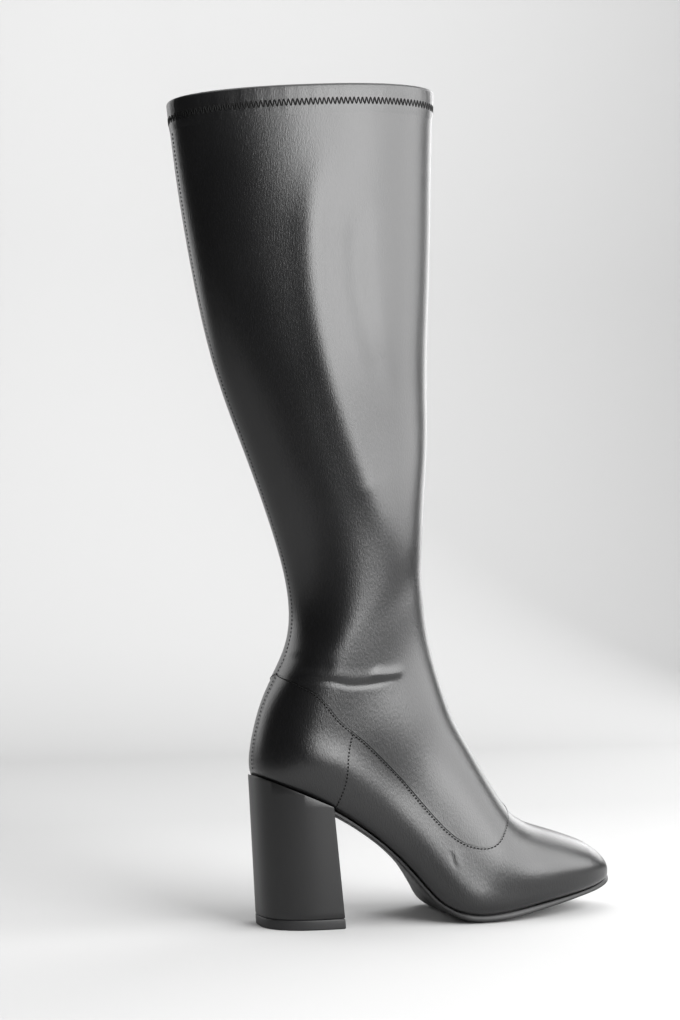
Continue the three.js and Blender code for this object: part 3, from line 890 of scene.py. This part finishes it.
@dataclass
class Upper:
    """Vamp, counter, shaft, collar band and lining, with their stitches.

    Attributes:
        pitch: spacing of the leather's points along the boot, in millimetres.
        around: points round each ring.
        leather: thickness of the shaft's leather.
        vamp_wall: thickness of the vamp's leather.
        lap_gap: room between the counter's inside and the vamp.
        vamp_end: last row of the vamp, under the counter.
        counter_rows: first and last row of the counter, before it is cut to its seam.
        shaft_start: first row of the shaft, before it is cut to its seam.
        lining_pitch: spacing of the lining's rings.
        core_pitch: spacing of the rings of a shell's hollow.
        core_around: points round each ring of a hollow.
        core_past: rows by which a hollow passes the shell's first and last row.
        slot_width: width of the zip's opening.
        slot_faces: levels between which the opening is cut.
        band_start: row where the collar band begins.
        band_height: how far the band stands proud.
        ripple: height of the band's fine ripple.
        zigzag_rows: rows of the zigzag's lower and upper needle holes.
        zigzag_pitch: spacing of those holes round the collar.
        seam_offset: distance of the shaft's stitches from its seam.
        counter_offset: distance of the counter's stitches from its seam.
        zip_offset: distance of the zip's stitches from its opening.
    """

    pitch: float = 1.6
    around: int = 200
    leather: float = 0.66
    vamp_wall: float = 0.75
    lap_gap: float = 0.03
    vamp_end: float = 12.4
    counter_rows: tuple[float, float] = (8.6, 15.2)
    shaft_start: float = 4.6
    lining_pitch: float = 3.2
    core_pitch: float = 4.0
    core_around: int = 100
    core_past: tuple[float, float] = (0.4, 0.3)
    slot_width: float = 8.5
    slot_faces: tuple[float, float] = (3.0, -5.0)
    band_start: float = 21.66
    band_height: float = 0.5
    ripple: float = 0.06
    zigzag_rows: tuple[float, float] = (21.752, 21.855)
    zigzag_pitch: float = 2.7
    seam_offset: float = -1.1
    counter_offset: float = 1.2
    zip_offset: float = 2.6

    def slot(self) -> bpy.types.Object:
        """The zip's opening, as a cutter.

        Returns:
            A bar along the zip's line.
        """
        line = SurfaceLine(ZIP_LINE, Side.INNER)
        numbers = np.linspace(-0.05, line.end + 0.02, 60)
        half = self.slot_width / 2
        above, below = self.slot_faces
        profile = ((-half, above), (half, above), (half, below), (-half, below))
        rings = np.stack([line.beside(numbers, w, h) for w, h in profile], 1)
        return MeshTools.closed_grid("slot_cutter", rings)

    def shaft_side(self) -> bpy.types.Object:
        """The space above the shaft's seam, as a cutter.

        Returns:
            A block across the boot.
        """
        seam = seam_outline(SHAFT_SEAM)
        corners = [seam[-1] + (FOOT_LENGTH, INSTEP_HEIGHT), (FOOT_LENGTH, CUTTER_TOP),
                   (-FOOT_LENGTH, CUTTER_TOP), (-FOOT_LENGTH, seam[0, 1])]
        return MeshTools.across("shaft_cutter", np.vstack([seam, corners]))

    def counter_side(self) -> bpy.types.Object:
        """The space behind the counter's seam, as a cutter.

        Returns:
            A block across the boot.
        """
        seam = seam_outline(COUNTER_SEAM)
        corners = [(seam[-1, 0], -HEEL_HEIGHT), (-FOOT_LENGTH, -HEEL_HEIGHT),
                   (-FOOT_LENGTH, CUTTER_TOP), (seam[0, 0], CUTTER_TOP)]
        return MeshTools.across("counter_cutter", np.vstack([seam, corners]))

    def shell(self, name: str, rows: Array, top: float, bottom: float) -> bpy.types.Object:
        """A shell of leather between two levels.

        Args:
            name: the piece's name.
            rows: row numbers of the rings.
            top: level of the outside.
            bottom: level of the inside.

        Returns:
            The shell, open at its ends.
        """
        def outside(row: Array, angle: Array) -> Array:
            """Level of the outer face."""
            return top + leather_relief(row, angle)

        def inside(row: Array, angle: Array) -> Array:
            """Level of the inner face."""
            return bottom + np.minimum(leather_relief(row, angle), 0)

        body = tube(name, rows, self.around, outside)
        before, after = self.core_past
        first = 0.0 if rows[0] <= 0 else rows[0] - before
        core_rows = clear_tip(ring_rows(first, rows[-1] + after, self.core_pitch), 0.2)
        MeshTools.combine(body, tube("core", core_rows, self.core_around, inside), "DIFFERENCE")
        return body

    def make_vamp(self) -> None:
        """The vamp: toe, sides and everything under the other panels' edges."""
        rows = clear_tip(ring_rows(0, self.vamp_end, self.pitch, [(0, 1.5, 1.6)]), 0.05)
        body = self.shell("vamp", rows, VAMP_LEVEL, VAMP_LEVEL - self.vamp_wall)
        MeshTools.combine(body, self.slot(), "DIFFERENCE")
        MeshTools.smooth(body)
        settle(body, LEATHER, nodes=("upper",))

    def make_counter(self) -> None:
        """The counter, wrapped round the heel."""
        rows = ring_rows(*self.counter_rows, self.pitch, [(11, 13, 1.6)])
        body = self.shell("counter", rows, COUNTER_LEVEL, VAMP_LEVEL + self.lap_gap)
        MeshTools.combine(body, self.counter_side(), "INTERSECT")
        MeshTools.smooth(body)
        settle(body, LEATHER)

    def make_shaft(self) -> None:
        """The shaft, from its seam over the instep to the collar."""
        rows = ring_rows(self.shaft_start, LAST_ROW - 0.01, self.pitch, [(11.5, 14.5, 1.4)])
        body = self.shell("shaft", rows, 0.0, -self.leather)
        MeshTools.combine(body, self.shaft_side(), "INTERSECT")
        MeshTools.combine(body, self.slot(), "DIFFERENCE")
        MeshTools.smooth(body)
        settle(body, LEATHER)

    def make_lining(self) -> None:
        """The lining inside the shaft and foot."""
        rows = clear_tip(ring_rows(0, LAST_ROW - 0.02, self.lining_pitch), 0.2)

        def level(depth: float) -> Level:
            """A face so deep below the leather, pushed in where the leather has folds."""
            return lambda row, angle: depth + np.minimum(leather_relief(row, angle), 0)

        body = tube("lining", rows, self.core_around, level(LINING_FACE))
        inner = clear_tip(ring_rows(0, LAST_ROW + self.core_past[1], self.core_pitch), 0.2)
        MeshTools.combine(body, tube("core", inner, self.core_around, level(LINING_LEVEL)), "DIFFERENCE")
        MeshTools.combine(body, self.slot(), "DIFFERENCE")
        MeshTools.smooth(body)
        settle(body, LINING)

    def make_band(self) -> None:
        """The collar's folded band, round over the rim and down inside."""
        count = 300
        angle = -90 + 360 * np.arange(count) / count
        turn = np.radians(angle)
        high = self.band_height
        start = self.band_start
        # Row and level round the band: outer face with the zigzag's groove, rim, then down inside
        profile = (
            (start, -0.06), (start + 0.03, 0.1), (start + 0.07, high * 0.8), (21.77, high * 0.9),
            (21.8, high * 0.7), (21.82, high * 0.7), (21.85, high * 0.9), (21.9, high), (21.975, high),
            (21.995, high * 0.5), (22.004, -0.3), (22.006, -1.0), (22.0, -1.7), (21.985, -2.15),
            (21.95, -2.25), (start, -2.2), (start, -2.0), (21.9, -1.0),
        )
        rings = []
        for row, level in profile:
            ripple = self.ripple * np.sin(turn * 41) * np.sin(turn * 17)
            lift = level + (ripple if level > 0.1 else 0)
            rings.append(FORM.at(np.full(count, row), angle, lift + leather_relief(row, angle)))
        rings = np.array(rings)
        n = len(profile)
        faces = [(i * count + j, ((i + 1) % n) * count + j, ((i + 1) % n) * count + (j + 1) % count,
                  i * count + (j + 1) % count) for i in range(n) for j in range(count)]
        body = MeshTools.make("collar_band", rings.reshape(-1, 3), faces)
        MeshTools.face_out(body)
        MeshTools.smooth(body, 50)
        settle(body, LEATHER)

    def stitch_row(self, name: str, line: SurfaceLine, offset: float, level: float, pitch: float = 2.1,
                   start: float = 0.0, stop: float | None = None) -> None:
        """A straight row of stitches beside a line.

        Args:
            name: the piece's name.
            line: the line that the row follows.
            offset: millimetres beside it.
            level: level of the leather there.
            pitch: length of one stitch and its gap.
            start: first number on the line.
            stop: last number.
        """
        numbers = line.even(pitch, start, stop)
        centre = line.beside(numbers, offset, level)
        ahead = np.gradient(centre, axis=0)
        ahead /= np.linalg.norm(ahead, axis=1, keepdims=True)
        out = line.frame(numbers)[2]
        across = np.cross(out, ahead)
        relief = leather_relief(line.row.at(numbers), line.angle(numbers))
        unit = MeshTools.capsule(pitch * 0.55, 0.8, 0.45)
        body = MeshTools.scatter(name, unit, centre + out * relief[:, None],
                                 np.stack([ahead, across, out], 1))
        MeshTools.smooth(body, 60)
        settle(body, THREAD)

    def make_stitches(self) -> None:
        """Rows along the seams, on both sides of the foot, and round the zip."""
        for side in Side:
            word = side.name.lower()
            sign = side.value
            shaft = SurfaceLine(SHAFT_SEAM, side)
            counter = SurfaceLine(COUNTER_SEAM, side)
            self.stitch_row(f"shaft_stitches_{word}", shaft, self.seam_offset * sign, 0.08)
            self.stitch_row(f"counter_stitches_{word}", counter, self.counter_offset * sign,
                            COUNTER_LEVEL + 0.08, stop=3.6)
        zip_line = SurfaceLine(ZIP_LINE, Side.INNER)
        beside = self.slot_width / 2 + self.zip_offset
        self.stitch_row("zip_stitches_front", zip_line, beside, 0.05, 2.2, start=-0.1)
        self.stitch_row("zip_stitches_back", zip_line, -beside, 0.05, 2.2, start=-0.1)
        first_row, row_step, stations = 12.2, 0.59, 17
        back = SurfaceLine([(first_row + row_step * i, 180.0) for i in range(stations)], Side.OUTER)
        self.stitch_row("back_seam_stitches", back, 1.2, 0.1, 2.4)

    def make_collar_zigzag(self) -> None:
        """The zigzag row round the collar band."""
        fine = np.linspace(-90, 270, 2401)
        low, high = self.zigzag_rows
        path = FORM.plain(np.full_like(fine, 0.5 * (low + high)), fine)
        run = np.concatenate([[0], np.cumsum(np.linalg.norm(np.diff(path, axis=0), axis=1))])
        count = 2 * int(run[-1] / self.zigzag_pitch)
        angle = np.interp(np.linspace(0, run[-1], count, endpoint=False), run, fine)
        row = np.where(np.arange(count) % 2 == 0, low, high)
        points = FORM.at(row, angle, self.band_height * 0.9 + leather_relief(row, angle))
        ends = np.roll(points, -1, axis=0)
        centre = (points + ends) / 2
        out = FORM.normal(np.full(count, 0.5 * (low + high)), angle)
        ahead = ends - points
        length = float(np.mean(np.linalg.norm(ahead, axis=1)))
        ahead /= np.linalg.norm(ahead, axis=1, keepdims=True)
        across = np.cross(out, ahead)
        across /= np.linalg.norm(across, axis=1, keepdims=True)
        axes = np.stack([ahead, across, np.cross(ahead, across)], 1)
        body = MeshTools.scatter("collar_zigzag", MeshTools.capsule(length * 0.78, 0.9, 0.5), centre, axes)
        MeshTools.smooth(body, 60)
        settle(body, THREAD)

    def build(self) -> None:
        """Makes every piece of the upper in a maker's order."""
        self.make_lining()
        self.make_vamp()
        self.make_counter()
        self.make_shaft()
        self.make_band()
        self.make_stitches()
        self.make_collar_zigzag()


@dataclass
class Heel:
    """Block heel and its tip: a half-round column that leans with the heel.

    Attributes:
        back: back edge behind the origin, on the floor.
        front: breast ahead of the origin, on the floor.
        width: width on the floor.
        back_lean: backward lean for each millimetre of height.
        breast_lean: backward lean of the breast.
        flare: growth of the half width.
        roundness: power of the rounded plan.
        corner: radius of the breast's two corners.
        tip_height: height of the tip.
        tip_gap: room between the tip and the block.
        rim_back: height of the rim at the back.
        rim_front: height of the rim at the breast.
        rim_past: how far the rim's cutter passes the heel.
        cup_rows: rows of the form that the block is hollowed to.
        tip_stations: height and inset of the tip's plans, below its upper edge.
    """

    back: float = 25.5
    front: float = 19.0
    width: float = 55.0
    back_lean: float = 0.055
    breast_lean: float = 0.108
    flare: float = 0.005
    roundness: float = 2.6
    corner: float = 0.9
    tip_height: float = 6.0
    tip_gap: float = 0.1
    rim_back: float = HEEL_HEIGHT - 0.9
    rim_front: float = HEEL_HEIGHT - 18.0
    rim_past: float = 60.0
    cup_rows: tuple[float, float] = (7.5, 15.0)
    tip_stations: tuple[tuple[float, float], ...] = (
        (0, 0.5), (0.4, 0.05), (1.2, 0), (3, -0.05), (5.2, -0.02), (5.75, 0.1),
    )

    def plan(self, height: float, inset: float = 0.0) -> Array:
        """The heel's plan at a height.

        Args:
            height: millimetres above the floor.
            inset: how much smaller the plan is drawn.

        Returns:
            A ring of points.
        """
        front = self.front - self.breast_lean * height - inset
        back = -self.back - self.back_lean * height + inset
        half = self.width / 2 + self.flare * height - inset
        corner = self.corner
        t = np.radians(np.linspace(-90, 90, 97))
        c, s = np.cos(t), np.sin(t)
        reach = (np.abs(c) ** self.roundness + np.abs(s) ** self.roundness) ** (-1 / self.roundness)
        arc = np.stack([front - corner - (front - corner - back) * reach * c, half * reach * s], -1)
        turn = np.radians(np.linspace(90, 0, 7))[1:]
        top = np.stack([front - corner + corner * np.cos(turn), half - corner + corner * np.sin(turn)], -1)
        low = top[::-1] * (1, -1)
        flat = np.stack([np.full(9, front), np.linspace(top[-1, 1], low[0, 1], 11)[1:-1]], -1)
        ring = np.vstack([arc, top, flat, low])
        return np.c_[ring, np.full(len(ring), height)]

    def column(self, name: str, stations: Sequence[tuple[float, float]]) -> bpy.types.Object:
        """A solid column through plans at heights, each with its inset."""
        return MeshTools.closed_grid(name, np.array([self.plan(h, i) for h, i in stations]))

    def build(self) -> None:
        """Makes the covered block and the tip."""
        low = self.tip_height + self.tip_gap
        stations = [(low, 0.7), (low + 0.25, 0.25), (low + 0.8, 0.0)]
        stations += [(h, 0.0) for h in np.linspace(low + 4, HEEL_HEIGHT + 4, 12)]
        block = self.column("heel_cover", stations)
        back_x = -self.back - self.back_lean * HEEL_HEIGHT
        front_x = self.front - self.breast_lean * HEEL_HEIGHT
        slope = (self.rim_front - self.rim_back) / (front_x - back_x)
        past, under = self.rim_past, -20
        rim = np.array([(back_x - past, under), (front_x + past, under),
                        (front_x + past, self.rim_front + past * slope),
                        (back_x - past, self.rim_back - past * slope)])
        MeshTools.combine(block, MeshTools.across("rim_cutter", rim), "INTERSECT")
        rows = ring_rows(*self.cup_rows, 2.0)
        cup = tube("cup", rows, 160, lambda r, a: np.full(np.shape(r), COUNTER_LEVEL + 0.15))
        MeshTools.combine(block, cup, "DIFFERENCE")
        MeshTools.bevel(block, 0.45, 2, 45)
        MeshTools.smooth(block, 40)
        settle(block, COVER, nodes=("heel_block",))
        tip = self.column("heel_top_piece", [*self.tip_stations, (self.tip_height, 0.5)])
        MeshTools.smooth(tip, 50)
        settle(tip, TIP, nodes=("heel_tip",))


@dataclass
class Outsole:
    """Outsole from the breast to the toe, with a rounded edge and a flat tread.

    Attributes:
        rows: first and last row.
        rings: rings along it.
        level: level of its upper face.
        half: row and half of its width there, in degrees.
        depth: row and level of its tread there.
        edge: share of the half width and of the depth at each step down the rounded edge.
        tread: share of the half width that the tread takes.
    """

    rows: tuple[float, float] = (0.25, 10.15)
    rings: int = 170
    level: float = -0.2
    half: tuple[tuple[float, float], ...] = ((0, 46), (5, 46), (6.2, 44), (7, 40), (8, 38))
    depth: tuple[tuple[float, float], ...] = ((0, 2.3), (3, 2.3), (5, 3.8), (6.1, 3.5), (6.8, 1.8))
    edge: tuple[tuple[float, float], ...] = ((1.012, 0.15), (1.014, 0.5), (1.008, 0.85))
    tread: float = 0.995

    def build(self) -> None:
        """Makes the outsole as one closed form."""
        rows = np.linspace(*self.rows, self.rings)
        half = np.interp(rows, *zip(*self.half))
        depth = np.interp(rows, *zip(*self.depth))
        wide, down = np.array(self.edge).T
        points = 25
        across = np.concatenate([np.linspace(1, -1, points), -wide,
                                 np.linspace(-self.tread, self.tread, points), wide[::-1]])
        drop = np.concatenate([np.zeros(points), down, np.ones(points), down[::-1]])
        row = np.repeat(rows[:, None], len(across), axis=1)
        angle = -90 + half[:, None] * across
        level = self.level + (depth[:, None] - self.level) * drop
        rings = FORM.at(row, angle, level + np.minimum(leather_relief(row, angle), 0))
        rings[..., 2] = np.maximum(rings[..., 2], 0.0)
        body = MeshTools.closed_grid("sole", rings)
        foot, inset = 0.5, -0.25
        cutter = Heel().column("breast_cutter", [(foot, inset), (HEEL_HEIGHT, inset)])
        MeshTools.combine(body, cutter, "DIFFERENCE")
        MeshTools.smooth(body, 40)
        settle(body, RUBBER, nodes=("outsole",))


@dataclass
class Zip:
    """The inner side's zip: woven tape, coil, stop, slider and pull tab.

    Attributes:
        pitch: spacing of the coil's teeth, in millimetres.
        half: distance of each column from the middle.
        level: level of the coil's middle.
        tooth: length, width and height of one tooth.
        ends: what the coil leaves free at both ends of the zip's line, as numbers along it.
    """

    pitch: float = 1.45
    half: float = 1.15
    level: float = -0.2
    tooth: tuple[float, float, float] = (2.5, 0.95, 1.05)
    ends: tuple[float, float] = (0.12, 0.16)

    def build(self, nodes: dict[str, bpy.types.Object]) -> None:
        """Makes the coil and finishes the metal pieces.

        Args:
            nodes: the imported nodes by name.
        """
        line = SurfaceLine(ZIP_LINE, Side.INNER)
        places, axes = [], []
        for side in (-1, 1):
            numbers = line.even(self.pitch, self.ends[0], line.end - self.ends[1])
            numbers = numbers[:-1] + (side + 1) / 4 * np.diff(numbers)
            along, across, out = line.frame(numbers)
            places.append(line.beside(numbers, side * self.half, self.level))
            axes.append(np.stack([across, along, out], 1))
        unit = MeshTools.capsule(*self.tooth, sides=8)
        coil = MeshTools.scatter("zip_coil", unit, np.vstack(places), np.vstack(axes))
        MeshTools.smooth(coil, 60)
        settle(coil, COIL, nodes=("zip_teeth",))
        for node, name, finish, slot, ride in (
            ("zip_slider", "zip_slider_body", DARK_METAL, "zip_slider", BOOT),
            ("zip_pull", "zip_pull_tab", DARK_METAL, "zip_pull", PULL),
            ("zip_bottom_stop", "zip_stop", BARE_METAL, "zip_metal", BOOT),
        ):
            body = nodes[node].copy()
            body.data = nodes[node].data.copy()
            body.name = name
            body.data.name = name
            body.parent = None
            body.matrix_world = Matrix.Identity(4)
            bpy.context.scene.collection.objects.link(body)
            self.soften(body)
            settle(body, finish, ride, (node,))
        WARDROBE.refit(nodes["zip_tape"], TAPE)

    @staticmethod
    def soften(body: bpy.types.Object) -> None:
        """Merges a copied node's corners and rounds its edges.

        Args:
            body: the copy.
        """
        MeshTools.select(body)
        bpy.ops.object.mode_set(mode="EDIT")
        bpy.ops.mesh.select_all(action="SELECT")
        bpy.ops.mesh.remove_doubles(threshold=0.000002)
        bpy.ops.mesh.dissolve_limited(angle_limit=math.radians(2))
        bpy.ops.object.mode_set(mode="OBJECT")
        MeshTools.bevel(body, 0.22, 2, 30)
        MeshTools.smooth(body, 50)


@dataclass(frozen=True)
class SoftLight:
    """A soft rectangular light.

    Attributes:
        name: its name.
        place: where it hangs, in metres.
        aim: the point that it faces.
        size: its width and height.
        power: its strength in watts.
    """

    name: str
    place: tuple[float, float, float]
    aim: tuple[float, float, float]
    size: tuple[float, float]
    power: float

    def hang(self) -> None:
        """Adds the light to the scene."""
        data = bpy.data.lights.new(self.name, "AREA")
        data.shape = "RECTANGLE"
        data.size, data.size_y = self.size
        data.energy = self.power
        lamp = bpy.data.objects.new(self.name, data)
        lamp.location = self.place
        lamp.rotation_euler = (Vector(self.aim) - Vector(self.place)).to_track_quat("-Z", "Y").to_euler()
        bpy.context.scene.collection.objects.link(lamp)


def panel(name: str, azimuth: float, width: float) -> SoftLight:
    """A tall panel beside the boot's outer side.

    Args:
        name: the light's name.
        azimuth: its turn from the outer side toward the toe, in degrees.
        width: its width in metres.

    Returns:
        The light, facing the boot's axis.
    """
    distance, height, tall, power = 1.5, 1.06, 1.68, 46
    turn = math.radians(azimuth)
    place = (distance * math.sin(turn), -distance * math.cos(turn), height)
    return SoftLight(name, place, (0, 0, height), (width, tall), power)


LIGHTS = (
    panel("key", 23, 0.86),
    panel("front_key", 62, 1.36),
    SoftLight("ceiling", (0.2, -0.1, 2.3), (0.2, -0.1, 0), (2.2, 2.0), 33),
    SoftLight("back_wash", (1.3, 0.7, 2.4), (1.6, 2.2, 0.4), (3.6, 0.8), 38),
    SoftLight("toe_rim", (1.5, 1.0, 0.9), (0, 0, 0.3), (1.0, 1.4), 16),
    SoftLight("heel_rim", (-1.1, 1.4, 0.9), (0, 0, 0.3), (1.2, 1.4), 9),
)


@dataclass
class Studio:
    """Pale sweep, soft lights and the camera at the photograph's place.

    Attributes:
        azimuth: turn of the camera toward the heel, in degrees.
        distance: camera from the heel's middle, in metres.
        height: camera above the floor.
        focal: focal length in pixels of the 680 by 1020 picture.
        heel_x: picture column of the heel's middle.
        horizon: picture row of the horizon.
        frame: width and height of the picture in pixels.
        sensor: long side of the camera's sensor in millimetres.
        sweep_start: front edge of the sweep, in metres.
        sweep_bend: place where its floor turns up.
        sweep_radius: radius of that bend.
        sweep_top: height of the backdrop.
        sweep_half: half its width.
        paper_range: places along Y where the paper's first and last tone lie.
        paper_tones: share of that range and grey of each tone, darker in a band behind the boot as painted
            shade against the rim lamps' light.
        world_strength: strength of the even light round the scene.
    """

    azimuth: float = 20.0
    distance: float = 1.0
    height: float = 0.1774
    focal: float = 1680.7
    heel_x: float = 300.0
    horizon: float = 625.0
    frame: tuple[float, float] = (680.0, 1020.0)
    sensor: float = 36.0
    sweep_start: float = -0.75
    sweep_bend: float = 1.3
    sweep_radius: float = 0.9
    sweep_top: float = 4.0
    sweep_half: float = 3.0
    paper_range: tuple[float, float] = (-0.5, 2.2)
    # Painted shade: the darker middle tones dim the floor behind the boot where the rim lamps light it
    # most
    paper_tones: tuple[tuple[float, float], ...] = (
        (0.0, 0.48), (0.22, 0.46), (0.38, 0.4), (0.64, 0.39), (0.85, 0.48), (1.0, 0.52),
    )
    world_strength: float = 0.05

    def make_camera(self) -> None:
        """The camera, level, with the small shift that the framing needs."""
        data = bpy.data.cameras.new("camera")
        data.sensor_width = self.sensor
        data.lens = self.focal / self.frame[1] * self.sensor
        data.shift_x = (self.frame[0] / 2 - self.heel_x) / self.frame[1]
        data.shift_y = (self.horizon - self.frame[1] / 2) / self.frame[1]
        data.clip_start, data.clip_end = 0.05, 50
        camera = bpy.data.objects.new("camera", data)
        a = math.radians(self.azimuth)
        camera.location = (-self.distance * math.sin(a), -self.distance * math.cos(a), self.height)
        camera.rotation_euler = (math.radians(90), 0, -a)
        bpy.context.scene.collection.objects.link(camera)
        bpy.context.scene.camera = camera

    def make_paper(self) -> bpy.types.Material:
        """The sweep's paper, darker on the floor behind the boot as painted shade where the rim lamps
        light it most.

        Returns:
            The material.
        """
        material = bpy.data.materials.new("paper")
        material.use_nodes = True
        tree = material.node_tree
        shader = tree.nodes["Principled BSDF"]
        place = tree.nodes.new("ShaderNodeTexCoord")
        split = tree.nodes.new("ShaderNodeSeparateXYZ")
        mapped = tree.nodes.new("ShaderNodeMapRange")
        mapped.inputs["From Min"].default_value, mapped.inputs["From Max"].default_value = self.paper_range
        ramp = tree.nodes.new("ShaderNodeValToRGB")
        stops = ramp.color_ramp.elements
        # Grey tones along Y, with painted shade in the darker band behind the boot
        for i, (share, grey) in enumerate(self.paper_tones):
            stop = stops[i] if i < 2 else stops.new(share)
            stop.position = share
            stop.color = (grey, grey, grey, 1)
        tree.links.new(place.outputs["Object"], split.inputs["Vector"])
        tree.links.new(split.outputs["Y"], mapped.inputs["Value"])
        tree.links.new(mapped.outputs["Result"], ramp.inputs["Fac"])
        tree.links.new(ramp.outputs["Color"], shader.inputs["Base Color"])
        shader.inputs["Roughness"].default_value = 0.9
        shader.inputs["Specular IOR Level"].default_value = 0.1
        return material

    def make_sweep(self) -> None:
        """Floor and backdrop as one curved sheet."""
        bend, radius = self.sweep_bend, self.sweep_radius
        profile = [(self.sweep_start, 0.0), (bend, 0.0)]
        profile += [(bend + radius * math.sin(t), radius - radius * math.cos(t))
                    for t in np.linspace(0.05, math.pi / 2, 16)]
        profile.append((bend + radius, self.sweep_top))
        rings = [(x, y, z) for y, z in profile for x in (-self.sweep_half, self.sweep_half)]
        faces = [(2 * i, 2 * i + 1, 2 * i + 3, 2 * i + 2) for i in range(len(profile) - 1)]
        sweep = MeshTools.make("sweep", np.array(rings) / MM, faces)
        MeshTools.smooth(sweep, 60)
        sweep.data.materials.append(self.make_paper())

    def build(self) -> None:
        """Sets up sweep, world, lights and camera."""
        self.make_camera()
        self.make_sweep()
        world = bpy.data.worlds.new("studio")
        world.use_nodes = True
        sky = world.node_tree.nodes["Background"]
        sky.inputs["Color"].default_value = (1, 1, 1, 1)
        sky.inputs["Strength"].default_value = self.world_strength
        bpy.context.scene.world = world
        bpy.context.scene.view_settings.view_transform = "Standard"
        for light in LIGHTS:
            light.hang()


def main() -> None:
    """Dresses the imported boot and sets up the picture."""
    logging.basicConfig(level=logging.INFO, format="%(name)s %(message)s")
    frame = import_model()
    nodes = frame["nodes"]
    Upper().build()
    Heel().build()
    Outsole().build()
    Zip().build(nodes)
    WARDROBE.refit(nodes["insole"], SOCK)
    Studio().build()


if __name__ == "__main__":
    main()
